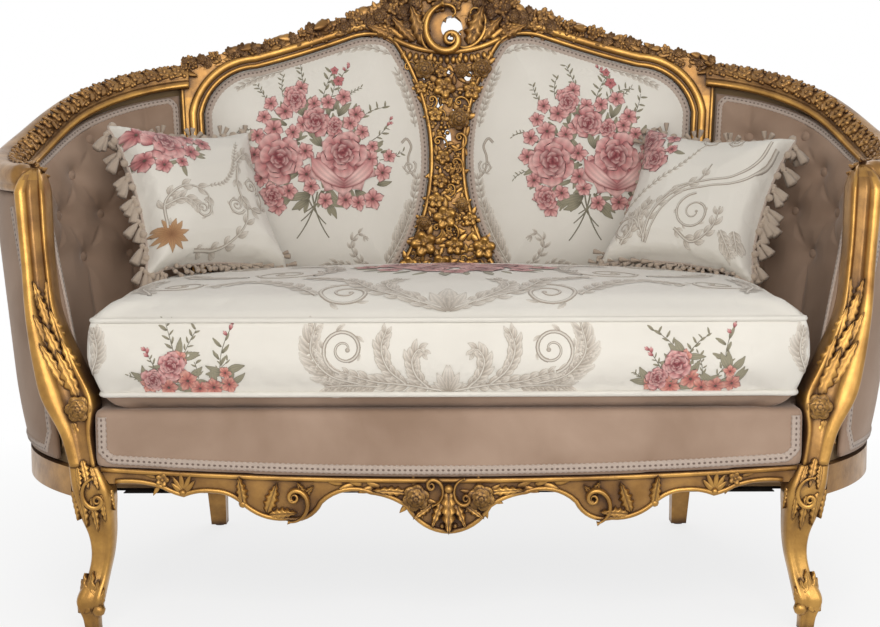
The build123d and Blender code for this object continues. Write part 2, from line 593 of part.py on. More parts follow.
with BuildPart() as cover_outline:
    add(panel_prism(-STILE_HALF / 2))
    add(view_prism(Plane.XZ, (0, SEAT_Z), (stile_x(SEAT_Z, 0), SEAT_Z),
                   (stile_x(LOWER_RAIL_TOP, 0), LOWER_RAIL_TOP), (0, LOWER_RAIL_TOP)))
    mirror(about=Plane.YZ)
with BuildPart() as outer_back_cover:
    depth = FRAME_OUT + GAP
    add(wall_slab(((SEAT_Z + GAP, depth, depth + COVER_THICK), (CREST_TOP, depth, depth + COVER_THICK)),
                  -BACK_TURN, BACK_TURN))
    add(cover_outline.part, mode=Mode.INTERSECT)
save(outer_back_cover.part, "outer_back_cover")

# Seat platform: upholstered deck with the front border standing on the front rail.
with BuildPart() as seat_platform:
    with BuildSketch(Plane.XY.offset(RAIL_DIP_Z - DECK_SKIRT)):
        with BuildLine():
            wall_arcs(SEAT_Z, DECK_IN, WALL_END, -WALL_END)
            right, left = (wall_point(turn, SEAT_Z, DECK_IN) for turn in (WALL_END, -WALL_END))
            Polyline(right, (DECK_HALF, right[1]), (DECK_HALF, DECK_FRONT_Y), (-DECK_HALF, DECK_FRONT_Y),
                     (-DECK_HALF, left[1]), left)
        make_face()
    extrude(amount=DECK_TOP - RAIL_DIP_Z + DECK_SKIRT)
    fillet(seat_platform.edges().filter_by(Axis.Z).group_by(Axis.Y)[0], DECK_ROUND)
    with Locations((0, RAIL_BACK_Y + FAR, web_top + GAP - FAR)):
        Box(2 * FAR, 2 * FAR, 2 * FAR, mode=Mode.SUBTRACT)
    with BuildSketch(Plane.XZ):
        with BuildLine():
            ThreePointArc((-RAIL_CROWN_X, RAIL_CROWN_Z + GAP), (0.0, RAIL_DIP_Z + GAP),
                          (RAIL_CROWN_X, RAIL_CROWN_Z + GAP))
            Polyline((RAIL_CROWN_X, RAIL_CROWN_Z + GAP), (FAR, RAIL_CROWN_Z + GAP), (FAR, 0), (-FAR, 0),
                     (-FAR, RAIL_CROWN_Z + GAP), (-RAIL_CROWN_X, RAIL_CROWN_Z + GAP))
        make_face()
    extrude(amount=FAR, mode=Mode.SUBTRACT)
save(seat_platform.part, "seat_platform")

# Loose seat cushion with its crown.
with BuildPart() as seat_cushion:
    for z, draw in CUSHION:
        mid_y = (CUSHION_PLAN[0][1] + CUSHION_BACK_Y) / 2
        share = 1 - draw / (CUSHION_BACK_Y - mid_y)
        plan = [(x - draw, mid_y + (y - mid_y) * share) for x, y in CUSHION_PLAN]
        corner, back = plan[0], plan[-1]
        with BuildSketch(Plane.XY.offset(z)):
            with BuildLine():
                for side in (-1, 1):
                    run = [(side * x, y) for x, y in plan]
                    ThreePointArc(*run[0:3])
                    ThreePointArc(*run[2:5])
                for (x, y), bow_y in ((corner, corner[1] - CUSHION_BOW), (back, CUSHION_BACK_Y - draw)):
                    ThreePointArc((-x, y), (0.0, bow_y), (x, y))
            make_face()
    loft(ruled=True)
save(seat_cushion.part, "seat_cushion")


def pillow_plane(middle, heading, lean, roll):
    """Return the plane of a leaning pillow, its normal to the sitter."""
    a, b, c = radians(heading), radians(lean), radians(roll)
    across = Vector(cos(a), sin(a), 0)
    normal = Vector(sin(a) * cos(b), -cos(a) * cos(b), sin(b))
    along = normal.cross(across)
    return Plane(middle, x_dir=across * cos(c) + along * sin(c), z_dir=normal)


# Throw pillows, sides drawn in between the corners.
for name, pose in (("throw_pillow_left", PILLOW_LEFT), ("throw_pillow_right", PILLOW_RIGHT)):
    with BuildPart() as pillow:
        for z, half, draw in PILLOW:
            with BuildSketch(pillow_plane(*pose).offset(z)):
                with BuildLine():
                    corners = [(-half, -half), (half, -half), (half, half), (-half, half)]
                    for (x0, y0), (x1, y1) in zip(corners, corners[1:] + corners[:1]):
                        inset = 1 - draw / half
                        ThreePointArc((x0, y0), ((x0 + x1) / 2 * inset, (y0 + y1) / 2 * inset), (x1, y1))
                make_face()
        loft(ruled=True)
    save(pillow.part, name)
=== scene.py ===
"""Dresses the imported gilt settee: carved gold frame, tufted velvet, rose brocade, braid and tassels."""
import random
from math import asin, atan2, copysign, cos, degrees, exp, hypot, pi, radians, sin, tau

import bmesh
import bpy
import numpy as np
from mathutils import Matrix, Vector
from mathutils.bvhtree import BVHTree


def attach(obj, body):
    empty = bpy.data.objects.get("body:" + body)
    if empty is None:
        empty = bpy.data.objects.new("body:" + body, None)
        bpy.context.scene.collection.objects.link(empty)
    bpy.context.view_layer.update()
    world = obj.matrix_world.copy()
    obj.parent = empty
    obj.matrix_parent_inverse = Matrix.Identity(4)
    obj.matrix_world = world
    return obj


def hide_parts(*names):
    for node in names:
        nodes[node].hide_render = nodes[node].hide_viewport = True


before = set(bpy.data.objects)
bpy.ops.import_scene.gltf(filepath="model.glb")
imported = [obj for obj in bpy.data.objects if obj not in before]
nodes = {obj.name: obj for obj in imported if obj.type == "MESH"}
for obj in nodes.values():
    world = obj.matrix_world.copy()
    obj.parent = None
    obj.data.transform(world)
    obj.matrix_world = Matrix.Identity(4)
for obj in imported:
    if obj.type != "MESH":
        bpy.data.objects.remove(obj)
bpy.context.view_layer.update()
SIDES = (("left", -1.0), ("right", 1.0))
MM = 0.001

# The leaning wall of the back and arms, as the frame has it, in metres and degrees.
# Each plan gives the back's depth, the stile's x, the shoulder's radius and the arm's radius.
SEAT_Z, REF_Z = 0.24, 1.05
BACK_TURN, SHOULDER_END = 9.0, 90.0
LOW_PLAN = (0.275, 0.435, 0.266, 0.395)
HIGH_PLAN = (0.355, 0.48, 0.3206, 0.205)
STILE_HALF = 0.019
FRONT, DOWN, UP = Vector((0, -1, 0)), Vector((0, 0, -1)), (0, 0, 1)
# Where rays that find the cloth start: y before the back, the border and the cushion, z above the cushion.
BACK_RAY_Y, BORDER_RAY_Y, CUSHION_RAY_Y, CUSHION_RAY_Z = -0.5, -0.6, -0.9, 0.9

# Camera, read from the photograph's frame.
PHOTO_W = 880.0
FOCAL_PX = 1450.0
CAMERA_AT = (0.0, -2.39, 0.675)
CAMERA_YAW, CAMERA_PITCH, CAMERA_ROLL = -0.0055, -0.1018, -0.004

# Linear colours of the finishes.
GOLD_BRIGHT, GOLD_MID = (0.545, 0.298, 0.074, 1), (0.19, 0.084, 0.018, 1)
# Darker bronzed gilt of grounds, hollows, rails and rear legs: partly a darker gilding, partly painted
# shade.
BRONZE_AND_SHADE_BRIGHT, BRONZE_AND_SHADE_MID = (0.4, 0.212, 0.062, 1), (0.13, 0.056, 0.014, 1)
# Brown of the bole, and of the shade painted into hollows.
BOLE_AND_SHADE_BROWN = (0.058, 0.022, 0.006, 1)
STEEL_BRIGHT, STEEL_MID = (0.5, 0.5, 0.52, 1), (0.36, 0.36, 0.38, 1)
VELVET, VELVET_NAP, VELVET_SHEEN = (0.262, 0.176, 0.124, 1), (0.378, 0.27, 0.202, 1), (0.8, 0.7, 0.64, 1)
IVORY, IVORY_SHADE = (0.77, 0.735, 0.665, 1), (0.655, 0.62, 0.555, 1)
BRAID, BRAID_EYE = (0.56, 0.452, 0.378, 1), (0.165, 0.115, 0.092, 1)
TASSEL, TASSEL_SHADE = (0.54, 0.445, 0.35, 1), (0.34, 0.255, 0.19, 1)
JUTE_BROWN, JUTE_SHADE = (0.3, 0.2, 0.1, 1), (0.22, 0.145, 0.072, 1)
CAMBRIC_BLACK, CAMBRIC_SHADE = (0.012, 0.012, 0.014, 1), (0.02, 0.02, 0.022, 1)
BEECH_PALE, BEECH_SHADE = (0.4, 0.26, 0.13, 1), (0.31, 0.19, 0.09, 1)
FLOOR_GREY, WHITE = (0.86, 0.86, 0.86, 1), (1, 1, 1, 1)
ROSE_DARK, ROSE_DEEP = (0.13, 0.022, 0.028), (0.235, 0.05, 0.056)
ROSE, ROSE_PALE = (0.47, 0.17, 0.168), (0.745, 0.495, 0.455)
LEAF_DARK, LEAF_SAGE = (0.09, 0.078, 0.05), (0.265, 0.24, 0.165)
SCROLL_DARK, SCROLL, SCROLL_PALE = (0.315, 0.265, 0.212), (0.5, 0.445, 0.38), (0.69, 0.645, 0.575)


def plan_at(z):
    """The four plan values of the wall at height z."""
    share = (z - SEAT_Z) / (REF_Z - SEAT_Z)
    return [low + share * (high - low) for low, high in zip(LOW_PLAN, HIGH_PLAN)]


def wall_point(turn, z, out=0.0):
    """Point of the wall at a heading from the back, a height and a depth outward."""
    back_y, stile, shoulder_r, arm_r = plan_at(z)
    side, turn = copysign(1.0, turn), abs(turn)
    radius = stile / sin(radians(BACK_TURN))
    x, y = 0.0, back_y - radius
    for limit, following in ((BACK_TURN, shoulder_r), (SHOULDER_END, arm_r)):
        if turn > limit:
            x += (radius - following) * sin(radians(limit))
            y += (radius - following) * cos(radians(limit))
            radius = following
    angle, reach = radians(turn), radius + out
    return Vector((side * (x + reach * sin(angle)), y + reach * cos(angle), z))


def wall_out(turn):
    """Outward direction of the wall at a heading."""
    angle = radians(turn)
    return Vector((sin(angle), cos(angle), 0.0))


def back_point(x, z, out=0.0):
    """Point of the back, between the stiles, at a front-view place and a depth outward."""
    back_y, stile = plan_at(z)[:2]
    radius = stile / sin(radians(BACK_TURN))
    return Vector((x, back_y - x * x / (2 * radius) + out, z))


def stile_x(z, side):
    """Front-view x of a stile's edge: side -1 inner, 0 middle, 1 outer."""
    return plan_at(z)[1] + side * STILE_HALF


def flipped(place, side):
    """A place or direction of the right half, on the given side."""
    return Vector((side * place[0], place[1], place[2]))


def smoothstep(low, high, value):
    """Smooth 0 to 1 ramp, for numbers or arrays."""
    t = np.clip((value - low) / (high - low), 0.0, 1.0)
    return t * t * (3.0 - 2.0 * t)


def curve_at(x, xs, ys):
    """Smooth curve through given points; ys may hold several columns."""
    xs, ys = np.array(xs, float), np.array(ys, float)
    slopes = np.gradient(ys, xs, axis=0)
    i = int(np.clip(np.searchsorted(xs, x) - 1, 0, len(xs) - 2))
    step = xs[i + 1] - xs[i]
    t = (x - xs[i]) / step
    return ((1 + 2 * t) * (1 - t) ** 2 * ys[i] + t * (1 - t) ** 2 * step * slopes[i]
            + t * t * (3 - 2 * t) * ys[i + 1] + t * t * (t - 1) * step * slopes[i + 1])


def run_lengths(points):
    """Distance along a path at each of its points."""
    return np.concatenate(([0.0], np.cumsum(np.linalg.norm(np.diff(points, axis=0), axis=1))))


def neighbours(path, i, closed=False):
    """The points before and after a place of a path."""
    if closed:
        return path[i - 1], path[(i + 1) % len(path)]
    return path[max(i - 1, 0)], path[min(i + 1, len(path) - 1)]


def link(name, data):
    """A new object of the scene, at the origin."""
    made = bpy.data.objects.new(name, data)
    bpy.context.scene.collection.objects.link(made)
    return made


def dress(mesh, finish):
    """Give a mesh one finish."""
    mesh.materials.clear()
    mesh.materials.append(finish)


def add_object(name, mesh, finish):
    """Link a smooth mesh as a piece of one finish."""
    dress(mesh, finish)
    mesh.shade_smooth()
    return link(name, mesh)


def declare(piece, body, slot, *replaced, fill=None):
    """Attach a piece to its body and hide the nodes it stands for; its slot and its fill are not used."""
    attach(piece, body)
    if replaced:
        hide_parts(*replaced)
    return piece


def mesh_of(name, points, faces):
    """Make a mesh from points and faces."""
    mesh = bpy.data.meshes.new(name)
    mesh.from_pydata([tuple(p) for p in points], [], faces)
    mesh.update()
    return mesh


def grid_faces(rows, cols, wrap=False, start=0):
    """Quads over a grid of rows and columns, wrapped round the columns if asked."""
    last = cols if wrap else cols - 1
    return [(start + r * cols + c, start + r * cols + (c + 1) % cols,
             start + (r + 1) * cols + (c + 1) % cols, start + (r + 1) * cols + c)
            for r in range(rows - 1) for c in range(last)]


def ring_faces(rings, sides, start=0):
    """Skin of a row of closed rings, with both ends capped."""
    last = start + (rings - 1) * sides
    caps = [tuple(range(start, start + sides))[::-1], tuple(range(last, last + sides))]
    return grid_faces(rings, sides, wrap=True, start=start) + caps


def slab_faces(rows, cols):
    """Faces of a closed slab: a front grid, a back grid of the same layout and the rim between them."""
    half = rows * cols
    rim = [*range(cols), *range(2 * cols - 1, half, cols)]
    rim += [*range(half - 2, half - cols - 1, -1), *range(half - 2 * cols, 0, -cols)]
    faces = grid_faces(rows, cols) + [face[::-1] for face in grid_faces(rows, cols, start=half)]
    return faces + [(a, a + half, b + half, b) for a, b in zip(rim, rim[1:] + rim[:1])]


def outward(mesh):
    """Merge doubles and turn every face outward."""
    work = bmesh.new()
    work.from_mesh(mesh)
    bmesh.ops.remove_doubles(work, verts=work.verts, dist=1e-6)
    bmesh.ops.recalc_face_normals(work, faces=work.faces)
    work.to_mesh(mesh)
    work.free()
    return mesh


def loft_rings(name, rings, finish):
    """Skin closed rings of equal length into a closed piece."""
    points = [p for ring in rings for p in ring]
    return add_object(name, outward(mesh_of(name, points, ring_faces(len(rings), len(rings[0])))), finish)


def surface_of(piece):
    """A ray-castable copy of a piece."""
    points = [v.co.copy() for v in piece.data.vertices]
    return BVHTree.FromPolygons(points, [list(p.vertices) for p in piece.data.polygons])


# Shader groups and finishes


def shader_group(name, inputs, outputs):
    """A shader group with named value sockets: inputs with their defaults, and outputs."""
    tree = bpy.data.node_groups.new(name, "ShaderNodeTree")
    for label, value in inputs.items():
        made = tree.interface.new_socket(label, in_out="INPUT", socket_type="NodeSocketFloat")
        made.default_value = value
    for label in outputs:
        tree.interface.new_socket(label, in_out="OUTPUT", socket_type="NodeSocketFloat")
    return tree, tree.nodes.new("NodeGroupInput").outputs, tree.nodes.new("NodeGroupOutput")


def node(tree, kind, sets=None, **links):
    """Add a node, set its properties, and link or set its inputs by socket name or number."""
    made = tree.nodes.new(kind)
    for key, value in (sets or {}).items():
        setattr(made, key, value)
    for key, value in links.items():
        socket = made.inputs[int(key[1:]) if key[1:].isdigit() else key.replace("_", " ")]
        if isinstance(value, bpy.types.NodeSocket):
            tree.links.new(value, socket)
        else:
            socket.default_value = value
    return made


def feed(tree, shader, **values):
    """Link values to a shader's inputs by name."""
    for key, value in values.items():
        tree.links.new(value, shader.inputs[key.replace("_", " ")])


def reckon(tree, operation, a, b=0.0):
    """One step of arithmetic on two values."""
    return node(tree, "ShaderNodeMath", {"operation": operation}, i0=a, i1=b).outputs[0]


def ramp(tree, value, low, high, start=0.0, end=1.0):
    """A value that goes from start to end while another goes from low to high."""
    return node(tree, "ShaderNodeMapRange", i0=value, i1=low, i2=high, i3=start, i4=end).outputs[0]


def object_place(tree):
    """The piece's own coordinates."""
    return node(tree, "ShaderNodeTexCoord").outputs["Object"]


def noise(tree, **values):
    """Cloudy noise over the piece's own coordinates."""
    return node(tree, "ShaderNodeTexNoise", Vector=object_place(tree), **values).outputs["Fac"]


def mixed(tree, factor, a, b):
    """Mix two colours, each a socket or a plain colour."""
    return node(tree, "ShaderNodeMix", {"data_type": "RGBA"}, i0=factor, i6=a, i7=b).outputs[2]


def use_group(tree, group, **values):
    """Place a shader group with its own values."""
    return node(tree, "ShaderNodeGroup", {"node_tree": group}, **values).outputs


def patina_and_shade_group():
    """Dark in recesses, partly darkened bole and partly shade painted from ambient occlusion, and mottled
    by rubbing: 0 bright high places, 1 dark hollows.
    """
    settings = {"Reach": 0.012, "Mottle": 0.35}
    tree, given, out = shader_group("rubbed_patina_and_painted_shade", settings, ("Recess", "Grain"))
    sight = {"samples": 6, "only_local": False}
    # Painted shade: ambient occlusion darkens the hollows and the gaps between parts.
    hollow = node(tree, "ShaderNodeAmbientOcclusion", sight, Distance=given["Reach"]).outputs["AO"]
    worn = ramp(tree, noise(tree, Scale=34.0, Detail=5.0, Roughness=0.62), 0.42, 0.72)
    speck = reckon(tree, "MULTIPLY", worn, given["Mottle"])
    total = node(tree, "ShaderNodeMath", {"operation": "ADD", "use_clamp": True},
                 i0=ramp(tree, hollow, 0.92, 0.42), i1=speck)
    feed(tree, out, Recess=total.outputs[0], Grain=noise(tree, Scale=260.0, Detail=3.0))
    return tree


THREAD_TURN, THREAD_TILT = 0.7854, 0.6


def weave_group():
    """Crossing threads as a height, with slow variation of the dye."""
    tree, given, out = shader_group("woven_threads", {"Threads": 900.0}, ("Height", "Variation"))
    heights = []
    for turn in (THREAD_TURN, -THREAD_TURN):
        spun = node(tree, "ShaderNodeMapping", Vector=object_place(tree),
                    Rotation=(turn, turn * THREAD_TILT, turn))
        wave = node(tree, "ShaderNodeTexWave", {"wave_type": "BANDS"}, Vector=spun.outputs[0],
                    Scale=given["Threads"], Distortion=0.6, Detail=1.0)
        heights.append(wave.outputs["Fac"])
    feed(tree, out, Height=reckon(tree, "MAXIMUM", *heights),
         Variation=noise(tree, Scale=7.0, Detail=4.0, Roughness=0.55))
    return tree


PATINA_AND_SHADE = patina_and_shade_group()
WEAVE = weave_group()


def finish_of(name, **values):
    """A new material and its shader, with plain socket values."""
    made = bpy.data.materials.new(name)
    made.use_nodes = True
    shader = made.node_tree.nodes["Principled BSDF"]
    for key, value in values.items():
        shader.inputs[key.replace("_", " ")].default_value = value
    return made, made.node_tree, shader


def bump_into(tree, shader, height, distance, strength):
    """Feed a height to the shader's normal."""
    made = node(tree, "ShaderNodeBump", Height=height, Distance=distance, Strength=strength)
    feed(tree, shader, Normal=made.outputs[0])


def gilt_finish(name, bright, mid, reach, mottle):
    """Gold leaf over brown bole, rubbed on high places and dark in hollows, partly bole and partly painted
    shade.
    """
    made, tree, shader = finish_of(name, IOR=1.45, Coat_Weight=0.12, Coat_Roughness=0.25)
    patina_and_shade = use_group(tree, PATINA_AND_SHADE, Reach=reach, Mottle=mottle)
    recess = patina_and_shade["Recess"]
    rubbed = ramp(tree, noise(tree, Scale=16.0, Detail=5.0, Roughness=0.6), 0.36, 0.78)
    feed(tree, shader, Base_Color=mixed(tree, recess, mixed(tree, rubbed, bright, mid), BOLE_AND_SHADE_BROWN),
         Roughness=ramp(tree, recess, 0.0, 1.0, 0.31, 0.64),
         Metallic=ramp(tree, recess, 0.0, 1.0, 0.88, 0.25))
    bump_into(tree, shader, patina_and_shade["Grain"], 0.0006, 0.35)
    return made


def velvet_finish(name):
    """Cut pile: soft blotches where the nap lies another way, and a rim of sheen."""
    made, tree, shader = finish_of(name, Roughness=0.92, Sheen_Weight=0.35, Sheen_Roughness=0.4,
                                   Sheen_Tint=VELVET_SHEEN, Specular_IOR_Level=0.15)
    lie = ramp(tree, noise(tree, Scale=6.5, Detail=4.0, Roughness=0.5, Distortion=0.3), 0.34, 0.7)
    feed(tree, shader, Base_Color=mixed(tree, lie, VELVET, VELVET_NAP))
    bump_into(tree, shader, noise(tree, Scale=900.0, Detail=2.0), 0.0008, 0.3)
    return made


def cloth_finish(name, base, shade, threads, relief, **values):
    """Woven cloth with crossing threads and slow shading of the dye."""
    made, tree, shader = finish_of(name, **values)
    woven = use_group(tree, WEAVE, Threads=threads)
    feed(tree, shader, Base_Color=mixed(tree, woven["Variation"], base, shade))
    bump_into(tree, shader, woven["Height"], relief, 0.5)
    return made


def thread_finish(name):
    """Silk embroidery that takes its colours from the stitches' own attribute, with light and shade
    painted over its crossing threads.
    """
    made, tree, shader = finish_of(name, Roughness=0.55, Sheen_Weight=0.2, Specular_IOR_Level=0.3)
    dye = node(tree, "ShaderNodeAttribute", {"attribute_name": "dye"}).outputs["Color"]
    woven = use_group(tree, WEAVE, Threads=520.0)
    # Painted light and shade: the dye is lightened on the threads' tops and darkened in the grooves
    # between them.
    lit = ramp(tree, woven["Height"], 0.0, 1.0, 0.78, 1.12)
    lit_dye = node(tree, "ShaderNodeVectorMath", {"operation": "SCALE"}, i0=dye, Scale=lit)
    feed(tree, shader, Base_Color=lit_dye.outputs[0])
    bump_into(tree, shader, woven["Height"], 0.0006, 0.5)
    return made


def darker(colour, share):
    """A colour with its light turned down."""
    return tuple(share * c for c in colour[:3]) + (1,)


def braid_finish(name):
    """Gimp braid: pale cord, with shade painted between its threads, and a row of small dark eyes placed
    by the ribbon's own map.
    """
    made, tree, shader = finish_of(name, Roughness=0.8, Sheen_Weight=0.2, Specular_IOR_Level=0.2)
    along = node(tree, "ShaderNodeUVMap", {"uv_map": "ribbon"}).outputs[0]
    split = node(tree, "ShaderNodeSeparateXYZ", Vector=along).outputs
    apart = node(tree, "ShaderNodeCombineXYZ", X=reckon(tree, "FRACT", split[0]), Y=split[1]).outputs[0]
    eye = node(tree, "ShaderNodeVectorMath", {"operation": "DISTANCE"}, i0=apart, i1=(0.5, 0.0, 0.0))
    woven = use_group(tree, WEAVE, Threads=700.0)
    # Painted shade: the cord is darker in the grooves between its crossing threads.
    cord = mixed(tree, woven["Height"], darker(BRAID, 0.72), BRAID)
    hole = ramp(tree, eye.outputs["Value"], 0.2, 0.32, 1.0, 0.0)
    feed(tree, shader, Base_Color=mixed(tree, hole, cord, BRAID_EYE))
    bump_into(tree, shader, woven["Height"], 0.0008, 0.6)
    return made


GILT = gilt_finish("gilt_moulding", GOLD_BRIGHT, GOLD_MID, 0.02, 0.2)
GILT_CARVED = gilt_finish("gilt_carving", GOLD_BRIGHT, GOLD_MID, 0.012, 0.24)
# The bronzed finishes: darker gilt that is partly painted shade on grounds, hollows and parts that sit in
# shade.
BRONZED_AND_SHADED = gilt_finish("bronzed_and_shaded_ground", BRONZE_AND_SHADE_BRIGHT, BRONZE_AND_SHADE_MID, 0.018, 0.32)
BRONZED_AND_SHADED_CARVED = gilt_finish("bronzed_and_shaded_carving", BRONZE_AND_SHADE_BRIGHT, BRONZE_AND_SHADE_MID, 0.011, 0.26)
STEEL = gilt_finish("steel_glide", STEEL_BRIGHT, STEEL_MID, 0.004, 0.2)
VELVET_CLOTH = velvet_finish("taupe_velvet")
BROCADE = cloth_finish("ivory_satin", IVORY, IVORY_SHADE, 1100.0, 0.00035, Roughness=0.46,
                       Sheen_Weight=0.25, Specular_IOR_Level=0.35)
STITCHES = thread_finish("silk_stitches")
BRAID_CLOTH = braid_finish("gimp_braid")
TASSEL_YARN = cloth_finish("tassel_yarn", TASSEL, TASSEL_SHADE, 650.0, 0.0008, Roughness=0.75,
                           Sheen_Weight=0.2)
TWISTED_CORD = cloth_finish("twisted_cord", BRAID, darker(BRAID, 0.6), 500.0, 0.001, Roughness=0.8)
PIPING_CORD = cloth_finish("piping_cord", IVORY, IVORY_SHADE, 800.0, 0.0006, Roughness=0.6)
JUTE = cloth_finish("jute_webbing", JUTE_BROWN, JUTE_SHADE, 420.0, 0.001, Roughness=0.9)
CAMBRIC = cloth_finish("black_cambric", CAMBRIC_BLACK, CAMBRIC_SHADE, 900.0, 0.0004, Roughness=0.9)
BEECH = cloth_finish("raw_beech", BEECH_PALE, BEECH_SHADE, 240.0, 0.0003, Roughness=0.6)

# Outlines of the back, right half, front view


def arc(start, through, end, count):
    """Points of the circular arc through three front-view points."""
    (ax, ay), (bx, by), (cx, cy) = start, through, end
    d = 2 * (ax * (by - cy) + bx * (cy - ay) + cx * (ay - by))
    squares = [p[0] ** 2 + p[1] ** 2 for p in (start, through, end)]
    ux = (squares[0] * (by - cy) + squares[1] * (cy - ay) + squares[2] * (ay - by)) / d
    uy = (squares[0] * (cx - bx) + squares[1] * (ax - cx) + squares[2] * (bx - ax)) / d
    first, mid, last = (atan2(p[1] - uy, p[0] - ux) for p in (start, through, end))
    mid, last = ((a - first) % tau for a in (mid, last))
    sweep = last if mid < last else last - tau
    radius = hypot(ax - ux, ay - uy)
    angles = [first + sweep * i / count for i in range(count + 1)]
    return [(ux + radius * cos(a), uy + radius * sin(a)) for a in angles]


def arcs(start, steps):
    """A chain of arcs from a start, each step being (place passed, end, points)."""
    points = [start]
    for through, end, count in steps:
        points += arc(points[-1], through, end, count)[1:]
    return points


def line(start, end, count):
    """Evenly spaced points from start to end."""
    return [tuple(a + (b - a) * i / count for a, b in zip(start, end)) for i in range(count + 1)]


def offset_path(points, distance, closed=False):
    """A front-view outline moved sideways, to its left for a positive distance."""
    moved = []
    for i, (x, z) in enumerate(points):
        before, after = neighbours(points, i, closed)
        dx, dz = after[0] - before[0], after[1] - before[1]
        length = hypot(dx, dz)
        moved.append((x - dz / length * distance, z + dx / length * distance))
    return moved


PANEL_FOOT_Z, PANEL_CORNER_Z = 0.47, 0.77
SPLAT_FOOT, SPLAT_WAIST, PANEL_TOP_IN = (0.104, 0.47), (0.033, 0.6825), (0.096, 0.895)
PANEL_RISE, PANEL_PEAK, PANEL_DIP = (0.108, 0.906), (0.13, 0.912), (0.153, 0.912)
PANEL_FALL, PANEL_HOLLOW = (0.175, 0.907), (0.262, 0.878)
PANEL_CROOK, PANEL_ROUND = (0.35, 0.853), (0.417, 0.824)
PANEL_CORNER = (stile_x(PANEL_CORNER_Z, -1), PANEL_CORNER_Z)
PANEL_OUT_FOOT = (stile_x(PANEL_FOOT_Z, -1), PANEL_FOOT_Z)
CREST_END, CREST_SWELL, CREST_SHOULDER = (0.485, 0.864), (0.325, 0.902), (0.13, 0.966)
CREST_ROUND, CREST_PEAK = (0.072, 0.998), (0.0, 1.012)
PEAK_POINTS = 8

splat_edge = arc(SPLAT_FOOT, SPLAT_WAIST, PANEL_TOP_IN, 40)
panel_crown = arcs(PANEL_TOP_IN, (
    (PANEL_RISE, PANEL_PEAK, PEAK_POINTS), (PANEL_DIP, PANEL_FALL, 8), (PANEL_HOLLOW, PANEL_CROOK, 20),
    (PANEL_ROUND, PANEL_CORNER, 16)))
panel_side = line(PANEL_CORNER, PANEL_OUT_FOOT, 24)[1:]
panel_loop = splat_edge + panel_crown[1:] + panel_side + line(PANEL_OUT_FOOT, SPLAT_FOOT, 24)[1:-1]
crest_top = arcs(CREST_END, ((CREST_SWELL, CREST_SHOULDER, 30), (CREST_ROUND, CREST_PEAK, 16)))


def run_distance(places, start, end):
    """Distance of each place from a straight run, and how far along the run it lies."""
    run = end - start
    share = np.clip(((places - start) @ run) / max(run @ run, 1e-12), 0, 1)
    return np.linalg.norm(places - (start + share[:, None] * run), axis=1), share


def edge_distance(places, loop):
    """Distance of each place from a closed outline."""
    loop, places = np.array(loop), np.array(places)
    runs = zip(loop, np.roll(loop, -1, axis=0))
    return np.min([run_distance(places, start, end)[0] for start, end in runs], axis=0)


# Upholstery


def closed_slab(name, front, back, size, finish):
    """Close a front and a back grid of the same layout into one padded piece."""
    return add_object(name, outward(mesh_of(name, list(front) + list(back), slab_faces(*size))), finish)


PAD_EDGE, PAD_CROWN, PAD_SWELL, PAD_BACK, PAD_INSET = -0.009, 0.034, 0.045, 0.004, 0.0012
PAD_GRID, PAD_CROWDING = (120, 100), 1.25


def back_pad(side_name, side):
    """Crowned panel of the back, in the opening beside the splat."""
    rows, cols = PAD_GRID
    inner = np.array(sorted((z, x) for x, z in splat_edge + panel_crown[:PEAK_POINTS + 1])).T
    outer = np.array(sorted((z, x) for x, z in [PANEL_OUT_FOOT] + panel_crown[PEAK_POINTS:])).T
    places = []
    for r in range(rows):
        climb = 1 - (1 - r / (rows - 1)) ** PAD_CROWDING
        z = PANEL_FOOT_Z + PAD_INSET + (PANEL_PEAK[1] - PANEL_FOOT_Z - 2 * PAD_INSET) * climb
        low, high = np.interp(z, *inner) + PAD_INSET, np.interp(z, *outer) - PAD_INSET
        places += [(low + (high - low) * c / (cols - 1), z) for c in range(cols)]
    depth = PAD_CROWN * (1 - np.exp(-edge_distance(places, panel_loop) / PAD_SWELL))
    front = [back_point(side * x, z, PAD_EDGE - d) for (x, z), d in zip(places, depth)]
    back = [back_point(side * x, z, PAD_BACK) for x, z in places]
    pad = closed_slab(f"back_panel_{side_name}", front, back, PAD_GRID, BROCADE)
    return declare(pad, "frame", "floral_brocade", f"back_pad_{side_name}", fill=0.85)


# Buttons of the side pads: height, and the headings along that row.
TUFT_ROWS = (
    (0.52, (38.0, 60.0, 82.0, 104.0)), (0.592, (27.0, 49.0, 71.0, 93.0, 113.0)),
    (0.66, (38.0, 60.0, 82.0)), (0.722, (27.0, 49.0)))
SIDE_PAD_LEVELS = (
    (0.246, 0.33, 0.43, 0.56, 0.68, 0.86), (-0.034, -0.04, -0.045, -0.044, -0.038, -0.026))
PAD_FOOT_Z, SIDE_GAP, POST_GAP, RAIL_GAP = 0.247, 0.0016, 0.002, 0.0012
TUFT_DEPTH, TUFT_WIDE, FOLD_DEPTH, FOLD_WIDE = 0.024, 0.021, 0.0125, 0.0085
TUFT_REACH, FOLD_APART, FOLD_UP, FOLD_DOWN = 0.25, 13, 0.15, 0.2
TUFT_SHARP, FOLD_SHARP, FOLD_EVEN, FOLD_WAVE = 1.3, 1.2, 0.78, 0.22
TUFT_GRID, TUFT_PLANE, TUFT_BACK = (130, 190), -0.02, -0.0005
COVER_GRID, COVER_PLANE, COVER_BACK, COVER_EDGE, COVER_SWELL = (50, 70), 0.014, 0.009, 0.016, 0.01
WALL_LONG, WALL_HIGH, TUCK_WIDE, TUCK_IN, SWELL_WIDE = 0.52, 0.45, 0.016, 0.62, 0.06
RAIL_UNDER_Y = (-0.262, -0.2, -0.06, 0.06, 0.185, 0.35)
